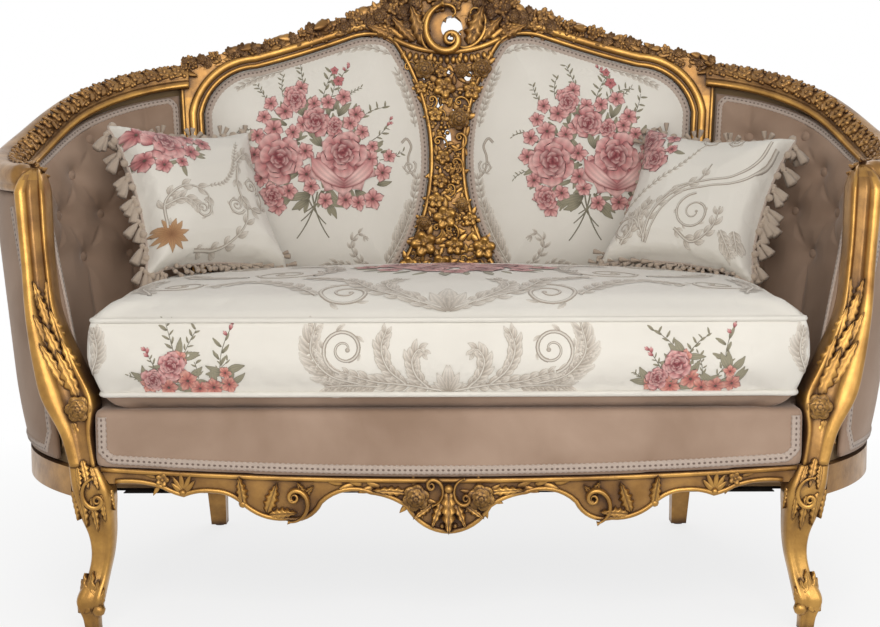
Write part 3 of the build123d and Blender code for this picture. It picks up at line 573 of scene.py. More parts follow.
RAIL_UNDER_Z = (0.638, 0.638, 0.655, 0.692, 0.762, 0.843)
RAIL_FIRST, RAIL_LAST = 10.2, 135.0
# Heights under the rail are found by rounds of trial from a first guess.
RAIL_GUESS, RAIL_ROUNDS, TOP_GUESS, TOP_ROUNDS = 0.7, 12, 0.72, 4

# Arm posts: heights, and x inside, x outside, y in front and y behind at each.
POST_LEVELS = (0.245, 0.29, 0.345, 0.39, 0.45, 0.54, 0.638)
POST_SECTIONS = (
    (0.508, 0.545, -0.34, -0.29), (0.514, 0.558, -0.336, -0.286), (0.512, 0.588, -0.327, -0.279),
    (0.536, 0.601, -0.315, -0.27), (0.566, 0.614, -0.297, -0.254), (0.585, 0.626, -0.272, -0.23),
    (0.594, 0.638, -0.254, -0.208))
POST_BACKS = [section[3] for section in POST_SECTIONS]


def rail_under(turn, out):
    """Height of the arm rail's underside above a place of the wall."""
    z = RAIL_GUESS
    for _ in range(RAIL_ROUNDS):
        y = np.clip(wall_point(turn, z, out).y, RAIL_UNDER_Y[0], RAIL_UNDER_Y[-1])
        z = float(curve_at(y, RAIL_UNDER_Y, RAIL_UNDER_Z))
    return z


def side_span(z, out):
    """First and last heading of the side wall at a height: from the stile to the arm post."""
    stile, shoulder_r, arm_r = plan_at(z)[1:]
    reach = stile_x(z, 1) + SIDE_GAP - stile + shoulder_r * sin(radians(BACK_TURN))
    first = degrees(asin(reach / (shoulder_r + out)))
    post = float(np.interp(z, POST_LEVELS, POST_BACKS)) + POST_GAP
    beyond = (wall_point(SHOULDER_END, z).y - post) / (arm_r + out)
    return first, SHOULDER_END + degrees(asin(min(beyond, 0.99)))


def side_grid(rows, cols, out):
    """Headings and heights over the side wall, trimmed at the stile, the arm rail and the post."""
    turns, heights, tops = [], [], []
    for c in range(cols):
        top = TOP_GUESS
        for _ in range(TOP_ROUNDS):
            first, last = side_span(top, out)
            top = rail_under(first + (last - first) * (c / (cols - 1)), out) - RAIL_GAP
        tops.append(top)
    for r in range(rows):
        for c in range(cols):
            z = PAD_FOOT_Z + (tops[c] - PAD_FOOT_Z) * r / (rows - 1)
            first, last = side_span(z, out)
            turns.append(first + (last - first) * c / (cols - 1))
            heights.append(z)
    return np.array(turns), np.array(heights)


def tufting(turns, heights):
    """How far the buttons and the folds between them pull the velvet back, over the side wall."""
    pulled = np.zeros(len(turns))
    scale = np.radians(1.0) * TUFT_REACH
    places = np.stack((turns * scale, heights), axis=1)
    spots = [(t, z, k) for k, (z, row) in enumerate(TUFT_ROWS) for t in row]
    for t, z, _ in spots:
        away = np.hypot((turns - t) * scale, heights - z)
        pulled = np.maximum(pulled, TUFT_DEPTH * np.exp(-(away / TUFT_WIDE) ** TUFT_SHARP))
    runs = [(a, b) for a in spots for b in spots if b[2] == a[2] + 1 and abs(a[0] - b[0]) < FOLD_APART]
    runs += [(a, (a[0], a[1] + FOLD_UP)) for a in spots if not any(start is a for start, _ in runs)]
    runs += [(a, (a[0], a[1] - FOLD_DOWN)) for a in spots if a[2] == 0]
    for (t0, z0, *_), (t1, z1, *_) in runs:
        away, share = run_distance(places, np.array((t0 * scale, z0)), np.array((t1 * scale, z1)))
        depth = FOLD_DEPTH * (FOLD_EVEN + FOLD_WAVE * np.cos(share * tau))
        pulled = np.maximum(pulled, depth * np.exp(-(away / FOLD_WIDE) ** FOLD_SHARP))
    return pulled


def wall_margin(rows, cols):
    """Rough distance of each grid point of the side wall from its nearest edge."""
    share, rise = np.tile(np.linspace(0, 1, cols), rows), np.repeat(np.linspace(0, 1, rows), cols)
    return np.minimum(np.minimum(share, 1 - share) * WALL_LONG, np.minimum(rise, 1 - rise) * WALL_HIGH)


def side_slab(name, side, size, turns, heights, front, behind):
    """A velvet piece over the side wall, from a depth at each point to one depth behind."""
    shell = [wall_point(side * t, z, out) for t, z, out in zip(turns, heights, front)]
    lining = [wall_point(side * t, z, behind) for t, z in zip(turns, heights)]
    return closed_slab(name, shell, lining, size, VELVET_CLOTH)


def side_upholstery():
    """Tufted velvet inside the arms and the plain outside covers."""
    tufted, plain = side_grid(*TUFT_GRID, TUFT_PLANE), side_grid(*COVER_GRID, COVER_PLANE)
    tuck = np.exp(-wall_margin(*TUFT_GRID) / TUCK_WIDE)
    deep = np.interp(tufted[1], *SIDE_PAD_LEVELS) * (1 - TUCK_IN * tuck) + tufting(*tufted) * (1 - tuck)
    swell = COVER_EDGE + COVER_SWELL * (1 - np.exp(-wall_margin(*COVER_GRID) / SWELL_WIDE))
    pads, covers = {}, {}
    for side_name, side in SIDES:
        pad = side_slab(f"tufted_arm_{side_name}", side, TUFT_GRID, *tufted, deep, TUFT_BACK)
        pads[side_name] = declare(pad, "frame", "taupe_velvet", f"side_pad_{side_name}", fill=0.8)
        cover = side_slab(f"outside_arm_{side_name}", side, COVER_GRID, *plain, swell, COVER_BACK)
        covers[side_name] = declare(cover, "frame", "taupe_velvet", f"outer_side_cover_{side_name}",
                                    fill=0.4)
    return pads, covers


def finished_mesh(piece):
    """Turn a piece with live modifiers into a plain mesh."""
    plain = bpy.data.meshes.new_from_object(piece.evaluated_get(bpy.context.evaluated_depsgraph_get()))
    piece.modifiers.clear()
    old, piece.data = piece.data, plain
    bpy.data.meshes.remove(old)
    return piece


def soft_copy(node_name, name, finish, voxel, rounds):
    """A remeshed, rounded copy of a packed soft solid."""
    piece = add_object(name, outward(nodes[node_name].data.copy()), finish)
    remesh = piece.modifiers.new("voxels", "REMESH")
    remesh.mode, remesh.voxel_size = "VOXEL", voxel
    relax = piece.modifiers.new("rounding", "SMOOTH")
    relax.iterations, relax.factor = rounds, 0.5
    finished_mesh(piece)
    dress(piece.data, finish)
    piece.data.shade_smooth()
    return piece


PUFF_FRAMES, PUFF_STIFF, PUFF_BEND = 18, 12.0, 0.4


def puff(piece, cap, pressure, shrink):
    """Fill a stuffed piece by cloth pressure, with a limit on how far a point may move."""
    start, moved = np.empty((2, len(piece.data.vertices) * 3))
    piece.data.vertices.foreach_get("co", start)
    cloth = piece.modifiers.new("stuffing", "CLOTH")
    settings = cloth.settings
    settings.use_pressure, settings.uniform_pressure_force = True, pressure
    settings.effector_weights.gravity, settings.shrink_min = 0.0, shrink
    settings.tension_stiffness = settings.compression_stiffness = PUFF_STIFF
    settings.bending_stiffness = PUFF_BEND
    cloth.point_cache.frame_end = PUFF_FRAMES + 2
    for step in range(1, PUFF_FRAMES + 1):
        bpy.context.scene.frame_set(step)
    finished_mesh(piece)
    bpy.context.scene.frame_set(1)
    piece.data.vertices.foreach_get("co", moved)
    shift = (moved - start).reshape(-1, 3)
    length = np.linalg.norm(shift, axis=1, keepdims=True)
    held = start.reshape(-1, 3) + shift * np.minimum(1.0, cap / np.maximum(length, 1e-9))
    piece.data.vertices.foreach_set("co", held.ravel())
    piece.data.update()
    piece.data.shade_smooth()


SEAM_LOW_Z, SEAM_HIGH_Z, SEAM_EASE = 0.352, 0.459, 0.02
BORDER_TUCK, BORDER_ENDS = 0.013, (0.4, 0.49)
CROWN_RISE, CROWN_HALF, CROWN_DEEP, CROWN_Y, CROWN_ROUND = 0.016, 0.4, 0.27, -0.04, 1.2


def seat_cushion():
    """The loose seat cushion: ivory brocade over a velvet underside."""
    piece = soft_copy("seat_cushion", "seat_cushion_brocade", BROCADE, voxel=0.007, rounds=4)
    puff(piece, cap=0.006, pressure=3.0, shrink=-0.01)
    for point in piece.data.vertices:
        x, y, z = point.co
        across = max(0.0, 1 - (x / CROWN_HALF) ** 2) * max(0.0, 1 - ((y - CROWN_Y) / CROWN_DEEP) ** 2)
        above = smoothstep(SEAM_HIGH_Z, SEAM_HIGH_Z + SEAM_EASE, z)
        point.co.z = z + CROWN_RISE * across ** CROWN_ROUND * above
    piece.data.materials.append(VELVET_CLOTH)
    for face in piece.data.polygons:
        face.material_index = int(face.center.z < SEAM_LOW_Z)
    return declare(piece, "seat_cushion", "floral_brocade", "seat_cushion", fill=0.85)


def throw_pillow(side_name):
    """A loose square pillow, filled by pressure."""
    piece = soft_copy(f"throw_pillow_{side_name}", f"pillow_brocade_{side_name}", BROCADE, voxel=0.0045,
                      rounds=3)
    puff(piece, cap=0.005, pressure=4.0, shrink=-0.012)
    return declare(piece, f"pillow_{side_name}", "floral_brocade", f"throw_pillow_{side_name}", fill=0.75)


def seat_border():
    """Velvet platform under the cushion, with its rolled front border."""
    piece = soft_copy("seat_platform", "seat_border_velvet", VELVET_CLOTH, voxel=0.006, rounds=8)
    for point in piece.data.vertices:
        wide = abs(point.co.x)
        point.co.x += copysign(BORDER_TUCK * smoothstep(*BORDER_ENDS, wide), point.co.x)
    return declare(piece, "frame", "taupe_velvet", "seat_platform", fill=0.9)


def outside_back():
    """Velvet cover of the rear of the back."""
    cover = soft_copy("outer_back_cover", "outside_back_velvet", VELVET_CLOTH, voxel=0.0035, rounds=2)
    declare(cover, "frame", "taupe_velvet", "outer_back_cover", fill=0.4)


# Carved motifs: unit size, standing on the XY plane, growing along +Y, facing +Z


def polar_relief(name, rings, columns, petals, depth):
    """A round relief of rings (share of the rim, height, rise on a petal), its rim cut into petals."""
    points = [(0.0, 0.0, rings[0][1])]
    for share, height, rise in rings[1:]:
        for c in range(columns):
            angle = tau * c / columns
            petal = abs(cos(petals * angle / 2))
            reach = share * 0.5 * (1 - depth + depth * petal)
            points.append((reach * cos(angle), reach * sin(angle), height + rise * petal))
    faces = [(0, 1 + c, 1 + (c + 1) % columns) for c in range(columns)]
    faces += grid_faces(len(rings) - 1, columns, wrap=True, start=1)
    faces.append(tuple(range(len(points) - 1, len(points) - 1 - columns, -1)))
    return outward(mesh_of(name, points, faces))


def leaf_relief(name, rows, cols, wide, lobes, notch, rib, curl):
    """A leaf along +Y with notched lobes, a sunk midrib and a lifted tip."""
    top = []
    for r in range(rows):
        t = r / (rows - 1)
        cut = 1 - notch * (0.5 + 0.5 * cos(tau * lobes * t))
        half = max(wide * sin(pi * min(1.0, 0.06 + 0.94 * t ** 0.8)) ** 0.8 * cut, 0.012)
        for c in range(cols):
            s = 2 * c / (cols - 1) - 1
            vein = 0.5 + 0.5 * cos(tau * (lobes * (t - 0.1 * abs(s))))
            height = 0.15 * (1 - s * s) ** 0.6 * sin(pi * (0.08 + 0.84 * t)) ** 0.5
            height += curl * t ** 2.5 - rib * exp(-(s / 0.16) ** 2) - 0.05 * vein * abs(s)
            top.append((half * s, t - 0.1 * abs(s) * notch, height))
    base = [(x, y, MOTIF_SINK) for x, y, _ in top]
    return outward(mesh_of(name, top + base, slab_faces(rows, cols)))


def scroll_relief(name, bend, steps, thick, sides=8):
    """A tapering scroll in the XY plane whose curvature follows the rule bend(s), s from -1 to 1."""
    angle, x, y = 0.0, 0.0, 0.0
    path = []
    for i in range(steps + 1):
        s = 2 * i / steps - 1
        path.append((x, y, angle, s))
        angle += bend(s) / steps
        x += cos(angle) / steps
        y += sin(angle) / steps
    xs, ys = [p[0] for p in path], [p[1] for p in path]
    reach = max(max(xs) - min(xs), max(ys) - min(ys))
    mid_x, mid_y = (max(xs) + min(xs)) / 2, (max(ys) + min(ys)) / 2
    points = []
    for x, y, angle, s in path:
        girth = thick * (0.35 + 0.65 * (1 - abs(s) ** 1.5)) + thick * 0.55 * smoothstep(0.93, 1.0, abs(s))
        for k in range(sides):
            around = tau * k / sides
            across, lift = girth * cos(around), girth * sin(around)
            points.append(((x - mid_x) / reach - across * sin(angle),
                           (y - mid_y) / reach + across * cos(angle), 0.7 * thick + lift))
    return outward(mesh_of(name, points, ring_faces(steps + 1, sides)))


def turned_drop(name, profile, columns, flute):
    """A turned form hanging along -Y: profile of (distance down, radius), fluted towards its foot."""
    points = []
    for down, radius in profile:
        for c in range(columns):
            angle = tau * c / columns
            girth = radius * (1 - flute * down * (c % 2))
            points.append((girth * cos(angle), -down, girth * sin(angle)))
    return outward(mesh_of(name, points, ring_faces(len(profile), columns)))


MOTIF_SINK = -0.12
BLOSSOM_RINGS = (
    (0, 0.3, 0), (0.17, 0.26, 0), (0.28, 0.1, 0), (0.62, 0.14, 0.1), (0.88, 0.1, 0.16),
    (1.0, 0.03, 0), (0.97, MOTIF_SINK, 0))
ROSE_RINGS = (
    (0, 0.34, 0), (0.12, 0.4, 0), (0.2, 0.28, 0), (0.34, 0.34, 0.08), (0.42, 0.2, 0),
    (0.62, 0.3, -0.1), (0.7, 0.1, 0), (0.92, 0.1, 0.16), (1.0, 0.02, 0), (0.97, MOTIF_SINK, 0))
BERRY_RINGS = (0, 0.42, 0), (0.55, 0.34, 0), (0.95, 0.08, 0), (0.9, MOTIF_SINK, 0)
GADROON_RINGS = (0, 0.4, 0), (0.5, 0.36, 0), (0.9, 0.16, 0), (1.0, 0.0, 0), (0.98, MOTIF_SINK, 0)
BUTTON_RINGS = (0, 0.3, 0), (0.4, 0.27, 0), (0.75, 0.18, 0), (1.0, 0.02, 0), (0.9, -0.2, 0)
TASSEL_PROFILE = (
    (0.0, 0.04), (0.03, 0.11), (0.09, 0.165), (0.16, 0.16), (0.21, 0.1), (0.25, 0.08), (0.29, 0.11),
    (0.4, 0.165), (0.62, 0.23), (0.85, 0.275), (0.97, 0.29), (1.0, 0.26))
motif_meshes = {
    "blossom": polar_relief("blossom", BLOSSOM_RINGS, 20, 5, 0.28),
    "rose": polar_relief("rose", ROSE_RINGS, 24, 6, 0.16),
    "leaf": leaf_relief("leaf", 8, 5, wide=0.24, lobes=0, notch=0.0, rib=0.07, curl=0.12),
    "acanthus": leaf_relief("acanthus", 31, 11, wide=0.3, lobes=5, notch=0.42, rib=0.07, curl=0.2),
    "berry": polar_relief("berry", BERRY_RINGS, 8, 2, 0.0),
    "c_scroll": scroll_relief("c_scroll", lambda s: 3.2 + 26.0 * abs(s) ** 4, 60, 0.055),
    "volute": scroll_relief("volute", lambda s: 5.0 + 24.0 * smoothstep(-0.6, 1.0, s) ** 2, 60, 0.088),
    "gadroon": polar_relief("gadroon", GADROON_RINGS, 10, 2, 0.0),
    "button": polar_relief("button", BUTTON_RINGS, 16, 2, 0.0),
    "tassel": turned_drop("tassel", TASSEL_PROFILE, 20, 0.3)}
MOTIFS = list(motif_meshes)


def motif_shelf():
    """The motifs as objects of one unlinked collection, in the order of their numbers."""
    shelf = bpy.data.collections.new("carved_motifs")
    for number, (label, mesh) in enumerate(motif_meshes.items()):
        mesh.shade_smooth()
        shelf.objects.link(bpy.data.objects.new(f"{number:02d}_{label}", mesh))
    return shelf


def scatter_tree():
    """Geometry nodes that set a numbered motif on each point, turned and sized by its attributes."""
    tree = bpy.data.node_groups.new("set_out_motifs", "GeometryNodeTree")
    tree.is_modifier = True
    for label, kind in (("Points", "Geometry"), ("Motifs", "Collection"), ("Finish", "Material")):
        tree.interface.new_socket(label, in_out="INPUT", socket_type=f"NodeSocket{kind}")
    tree.interface.new_socket("Carving", in_out="OUTPUT", socket_type="NodeSocketGeometry")
    given = tree.nodes.new("NodeGroupInput").outputs
    shelf = node(tree, "GeometryNodeCollectionInfo", Collection=given["Motifs"], Separate_Children=True,
                 Reset_Children=True)

    def read(label, kind):
        made = node(tree, "GeometryNodeInputNamedAttribute", {"data_type": kind}, Name=label)
        return made.outputs["Attribute"]

    spin = node(tree, "FunctionNodeEulerToRotation", Euler=read("turn", "FLOAT_VECTOR"))
    placed = node(tree, "GeometryNodeInstanceOnPoints", Points=given["Points"], Pick_Instance=True,
                  Instance=shelf.outputs["Instances"], Instance_Index=read("kind", "INT"),
                  Rotation=spin.outputs["Rotation"], Scale=read("size", "FLOAT_VECTOR"))
    real = node(tree, "GeometryNodeRealizeInstances", Geometry=placed.outputs["Instances"])
    coloured = node(tree, "GeometryNodeSetMaterial", Geometry=real.outputs["Geometry"],
                    Material=given["Finish"])
    feed(tree, tree.nodes.new("NodeGroupOutput"), Carving=coloured.outputs["Geometry"])
    return tree


MOTIF_SHELF = motif_shelf()
SET_OUT = scatter_tree()


def motif(label, place, out, up, size):
    """One motif to set out: at a place, facing out, growing along up; size is one number or (x, y, z)."""
    out = Vector(out).normalized()
    side = Vector(up).cross(out).normalized()
    turn = Matrix((side, out.cross(side), out)).transposed().to_euler()
    sizes = (size, size, size) if isinstance(size, float) else tuple(size)
    return MOTIFS.index(label), tuple(place), tuple(turn), sizes


def set_out(name, items, finish, body="frame", slot="gilt_wood", *replaced):
    """Make one plain mesh piece of the motifs in a list and say what it is."""
    mesh = mesh_of(name, [item[1] for item in items], [])
    parts = ("kind", "INT", 0), ("turn", "FLOAT_VECTOR", 2), ("size", "FLOAT_VECTOR", 3)
    for label, kind, part in parts:
        values = np.array([item[part] for item in items]).ravel()
        mesh.attributes.new(label, kind, "POINT").data.foreach_set("vector" if part else "value", values)
    piece = link(name, mesh)
    modifier = piece.modifiers.new("set_out", "NODES")
    modifier.node_group = SET_OUT
    given = [socket for socket in SET_OUT.interface.items_tree if socket.in_out == "INPUT"]
    sockets = {socket.name: socket.identifier for socket in given}
    modifier[sockets["Motifs"]] = MOTIF_SHELF
    modifier[sockets["Finish"]] = finish
    finished_mesh(piece)
    dress(piece.data, finish)
    piece.data.polygons.foreach_set("material_index", [0] * len(piece.data.polygons))
    return declare(piece, body, slot, *replaced)


# Moulded members of the frame


def tube(path, outs, half, lift, sides=8, closed=False):
    """Points and faces of a rounded moulding along a path, half wide and lifted along outs."""
    points = []
    for i, (place, out) in enumerate(zip(path, outs)):
        before, after = neighbours(path, i, closed)
        run = (after - before).normalized()
        across = run.cross(out).normalized()
        rise = across.cross(run)
        for k in range(sides):
            angle = tau * k / sides
            points.append(place + across * half * cos(angle) + rise * lift * sin(angle))
    if not closed:
        return points, ring_faces(len(path), sides)
    last = (len(path) - 1) * sides
    closing = [(last + k, last + (k + 1) % sides, (k + 1) % sides, k) for k in range(sides)]
    return points, grid_faces(len(path), sides, wrap=True) + closing


def joined(name, parts, finish):
    """One piece of several parts, each given as points and faces."""
    points, faces = [], []
    for part_points, part_faces in parts:
        start = len(points)
        points += part_points
        faces += [tuple(start + i for i in face) for face in part_faces]
    return add_object(name, outward(mesh_of(name, points, faces)), finish)


def gilt_piece(piece, *replaced):
    """Declare a gilt part of the frame, with the nodes it stands for."""
    return declare(piece, "frame", "gilt_wood", *replaced)


# Section of an arm rail, in mm: outward and up from its underside.
RAIL_SECTION = (
    (-20, 0), (-26, 1.5), (-29.5, 6), (-28.5, 10.5), (-24.5, 13.5), (-21.5, 14.5), (-21.5, 18),
    (-22.5, 22), (-20, 29), (-14, 35.5), (-5, 40.5), (6, 42.5), (15, 42), (22.5, 38.5), (26.8, 32),
    (28, 23), (26.5, 14), (23.5, 11.5), (24.5, 7), (22, 1), (12, 0))
RAIL_ROWS, RAIL_MIDDLE, RAIL_NOSE, RAIL_NOSE_AT, RAIL_END = 150, 20, 0.3, 0.975, 0.985
RAIL_LIFT = RAIL_MIDDLE * MM
RAIL_BEAD, RAIL_BEAD_HALF, RAIL_BEAD_LIFT, RAIL_BEAD_ROWS = (-0.0265, 0.0055), 0.005, 0.0046, 120


def rail_turn(share):
    """Heading of an arm rail at a share of its run from the stile to the front end."""
    return RAIL_FIRST + (RAIL_LAST - RAIL_FIRST) * share


def rail_place(side, share, out, up):
    """Point of an arm rail at a share of its run, out and up as in its section."""
    turn = rail_turn(share)
    return wall_point(side * turn, rail_under(turn, 0.0), out) + Vector((0, 0, up))


def arm_rails():
    """Arm rails with a bead, a groove and a swelling field for the carving."""
    for side_name, side in SIDES:
        rings = []
        for r in range(RAIL_ROWS + 1):
            share = r / RAIL_ROWS
            nose = (1 - RAIL_NOSE * smoothstep(RAIL_NOSE_AT, 1.0, share)) * MM
            rings.append([rail_place(side, share, out * nose, RAIL_LIFT + (up - RAIL_MIDDLE) * nose)
                          for out, up in RAIL_SECTION])
        # The rail takes the darker bronzed gilt, partly painted shade.
        gilt_piece(loft_rings(f"arm_rail_moulding_{side_name}", rings, BRONZED_AND_SHADED), f"arm_rail_{side_name}")
        shares = np.linspace(0.0, RAIL_END, RAIL_BEAD_ROWS)
        bead = [rail_place(side, share, *RAIL_BEAD) for share in shares]
        outs = [-wall_out(side * rail_turn(share)) for share in shares]
        parts = [tube(bead, outs, RAIL_BEAD_HALF, RAIL_BEAD_LIFT)]
        gilt_piece(joined(f"arm_rail_bead_{side_name}", parts, GILT))


# Front of an arm post: share from its outer to its inner edge, and forward in mm.
POST_FACE = (
    (0.0, 0), (0.04, 4), (0.12, 6.5), (0.22, 7.2), (0.33, 5.5), (0.4, 1), (0.46, -3.5), (0.54, -4.5),
    (0.64, -3.5), (0.74, -4.2), (0.81, -3), (0.86, 1.5), (0.92, 4), (0.97, 2.5), (1.0, -1))
POST_ROWS, HOLLOW_FROM, HOLLOW_TO, HOLLOW_DEEP = 70, 0.37, 0.84, 0.008
# The front's relief is lower at the foot; the other faces bow out a little.
FOOT_RELIEF, RELIEF_LEVELS, BOW_IN, BOW_BACK, BOW_OUT = 0.35, (0.26, 0.34), 0.001, 0.0012, 0.002
# The post's head rounds over into the arm rail: share drawn in to its back, rise.
POST_CAP = ((0.03, 0.004), (0.09, 0.01), (0.2, 0.018), (0.36, 0.026), (0.58, 0.033), (0.85, 0.037))


def post_section(z):
    """The post's x inside, x outside, y in front and y behind at a height."""
    return curve_at(z, POST_LEVELS, POST_SECTIONS)


def post_face(z, share, forward=0.0):
    """Point on the front of a right arm post: share 0 at its outer edge, 1 at its inner edge."""
    x_in, x_out, y_front = post_section(z)[:3]
    return Vector((x_out + (x_in - x_out) * share, y_front - forward, z))


def post_ring(z):
    """One section of a right arm post, a rib, a hollow and a bead in front, and its middle behind."""
    x_in, x_out, y_front, y_back = post_section(z)
    relief = (FOOT_RELIEF + (1 - FOOT_RELIEF) * smoothstep(*RELIEF_LEVELS, z)) * MM
    wide, deep = x_out - x_in, y_back - y_front
    ring = [post_face(z, share, forward * relief) for share, forward in POST_FACE]
    fifths = [k / 5 for k in range(1, 5)]
    ring += [Vector((x_in - BOW_IN, y_front + deep * k, z)) for k in fifths]
    ring += [Vector((x_in + wide * k / 4, y_back + BOW_BACK * sin(pi * k / 4), z)) for k in range(5)]
    ring += [Vector((x_out + BOW_OUT * sin(pi * k), y_front + deep * k, z)) for k in fifths[::-1]]
    return ring, Vector(((x_in + x_out) / 2, y_back, z))


def arm_posts():
    """Arm posts whose front hollows take the darker bronzed gilt, partly painted shade, their heads
    rounded over into the rails.
    """
    for side_name, side in SIDES:
        rings = []
        for r in range(POST_ROWS + 1 + len(POST_CAP)):
            over, rise = POST_CAP[r - POST_ROWS - 1] if r > POST_ROWS else (0.0, 0.0)
            z = POST_LEVELS[0] + (POST_LEVELS[-1] - POST_LEVELS[0]) * min(r, POST_ROWS) / POST_ROWS
            ring, middle = post_ring(z)
            ring = [middle + (p - middle) * (1 - over) + Vector((0, 0, rise)) for p in ring]
            rings.append([flipped(p, side) for p in ring])
        post = loft_rings(f"arm_post_moulding_{side_name}", rings, GILT)
        gilt_piece(post, f"arm_post_{side_name}")
        # The front hollow takes the darker bronzed gilt: painted shade in part.
        post.data.materials.append(BRONZED_AND_SHADED)
        for face in post.data.polygons:
            x_in, x_out, y_front = post_section(face.center.z)[:3]
            share = (x_out - abs(face.center.x)) / (x_out - x_in)
            in_front = face.center.y < y_front + HOLLOW_DEEP
            face.material_index = int(in_front and HOLLOW_FROM < share < HOLLOW_TO)


# Front legs: heights, and x, y and width at each; ridges and the hollow as (degrees, spread, height).
LEG_LEVELS = (0.003, 0.02, 0.048, 0.085, 0.112, 0.14, 0.17, 0.211, 0.245)
LEG_SECTIONS = (
    (0.519, -0.33, 0.023), (0.52, -0.332, 0.025), (0.521, -0.334, 0.039), (0.51, -0.323, 0.031),
    (0.505, -0.318, 0.032), (0.505, -0.316, 0.038), (0.51, -0.317, 0.049), (0.516, -0.317, 0.059),
    (0.525, -0.316, 0.05))
LEG_RIDGES = ((-128, 9, 0.0022), (-52, 9, 0.0016), (-108, 10, -0.0018))
LEG_ROWS, LEG_SIDES, LEG_SQUARE = 64, 48, 3.4


def leg_point(z, angle, proud=0.0):
    """Point on a right front leg, angle 0 towards +X and -90 towards the front."""
    x, y, width = curve_at(z, LEG_LEVELS, LEG_SECTIONS)
    c, s = cos(angle), sin(angle)
    square = (abs(c) ** LEG_SQUARE + abs(s) ** LEG_SQUARE) ** (-1 / LEG_SQUARE)
    ridges = sum(high * exp(-((degrees(angle) - at) / wide) ** 2) for at, wide, high in LEG_RIDGES)
    radius = width / 2 * square + ridges + proud
    return Vector((x + radius * c, y + radius * s, z))


def front_legs():
    """Cabriole legs with a ridge along the inner front corner."""
    heights = np.linspace(LEG_LEVELS[0], LEG_LEVELS[-1], LEG_ROWS + 1)
    angles = [tau * k / LEG_SIDES - pi for k in range(LEG_SIDES)]
    for side_name, side in SIDES:
        rings = [[flipped(leg_point(z, angle), side) for angle in angles] for z in heights]
        gilt_piece(loft_rings(f"cabriole_leg_{side_name}", rings, GILT), f"front_leg_{side_name}")


APRON_Y, KNEE_END = -0.3365, (0.48, 0.22)
# Lower edge of the front seat rail, right half, from the knee to the middle: arcs as (place passed, end).
APRON_ARCS = (
    ((0.448, 0.22), (0.412, 0.212)), ((0.398, 0.205), (0.382, 0.2)), ((0.366, 0.205), (0.34, 0.206)),
    ((0.322, 0.203), (0.3, 0.19)), ((0.272, 0.171), (0.235, 0.165)), ((0.2, 0.17), (0.182, 0.19)),
    ((0.15, 0.207), (0.112, 0.203)), ((0.084, 0.196), (0.062, 0.184)), ((0.036, 0.156), (0.0, 0.145)))
apron_edge = arcs(KNEE_END, [(through, end, 8) for through, end in APRON_ARCS])
RAIL_TOP = arc((-0.5, 0.246), (0.0, 0.228), (0.5, 0.246), 60)
SWAG = arc((0.0, 0.884), (0.05, 0.889), (0.098, 0.908), 14)
BEAD_OUT, SWELL_OUT, SWAG_OUT = -0.0165, -0.0155, -0.018
# Mouldings: how far in from the edge they follow, then half width and lift.
PANEL_BEAD_IN, PANEL_BEAD = 0.0045, (0.0042, 0.0052)
SWELL_IN, SWELL_SIZE, SWAG_SIZE = 0.0185, (0.008, 0.0072), (0.0055, 0.0065)
STILE_BEAD_IN, STILE_BEAD, STILE_LEVELS = 0.0035, (0.0036, 0.0046), np.linspace(0.44, 0.825, 30)
APRON_RIM_IN, APRON_RIM = -0.0035, (0.0038, 0.0042)
TOP_RIM_IN, TOP_RIM = 0.0045, (0.0045, 0.0048)


def gilt_mouldings():
    """Beads round the panels, the swelling crest moulding, the splat's swag and the apron's rims."""
    parts = []

    def bead(path, size, **shape):
        parts.append(tube(path, [FRONT] * len(path), *size, **shape))

    def on_back(points, side, out):
        return [back_point(side * x, z, out) for x, z in points]

    for _, side in SIDES:
        round_panel = offset_path(panel_loop, PANEL_BEAD_IN, closed=True)
        bead(on_back(round_panel, side, BEAD_OUT), PANEL_BEAD, closed=True)
        over_panel = offset_path(panel_crown + panel_side, SWELL_IN)
        bead(on_back(over_panel, side, SWELL_OUT), SWELL_SIZE, sides=10)
        down_stile = [(stile_x(z, 1) - STILE_BEAD_IN, z) for z in STILE_LEVELS]
        bead(on_back(down_stile, side, BEAD_OUT), STILE_BEAD)
        bead(on_back(SWAG, side, SWAG_OUT), SWAG_SIZE)
        rim = offset_path(apron_edge, APRON_RIM_IN)
        bead([Vector((side * x, APRON_Y, z)) for x, z in rim], APRON_RIM)
    bead([Vector((x, APRON_Y, z - TOP_RIM_IN)) for x, z in RAIL_TOP], TOP_RIM)
    gilt_piece(joined("gilt_mouldings", parts, GILT))


# Carving


def ring_leaves(place, size, count, dice, leaf_size):
    """Leaves laid round a flower that faces the front."""
    first = dice.uniform(0, tau)
    items = []
    for k in range(count):
        angle = first + tau * (k + dice.uniform(-0.25, 0.25)) / count
        grow = Vector((cos(angle), 0, sin(angle)))
        length = leaf_size * dice.uniform(0.8, 1.2)
        spot = place + grow * size * 0.3 - FRONT * 0.0015
        items.append(motif("leaf", spot, FRONT + grow * 0.15, grow, (length * 1.3, length, length * 0.9)))
    return items


CARVED_FACE = -0.0165
CREST_STEP, CREST_AHEAD = 0.0108, 0.004
# Rows of the crest's garland: depth below its edge, motifs to draw from, size.
CREST_ROWS = (
    (0.0, ("leaf", "blossom", "leaf", "rose"), 0.0175), (-0.01, ("rose", "leaf", "blossom"), 0.0185),
    (-0.02, ("leaf", "leaf", "berry", "blossom"), 0.0155))
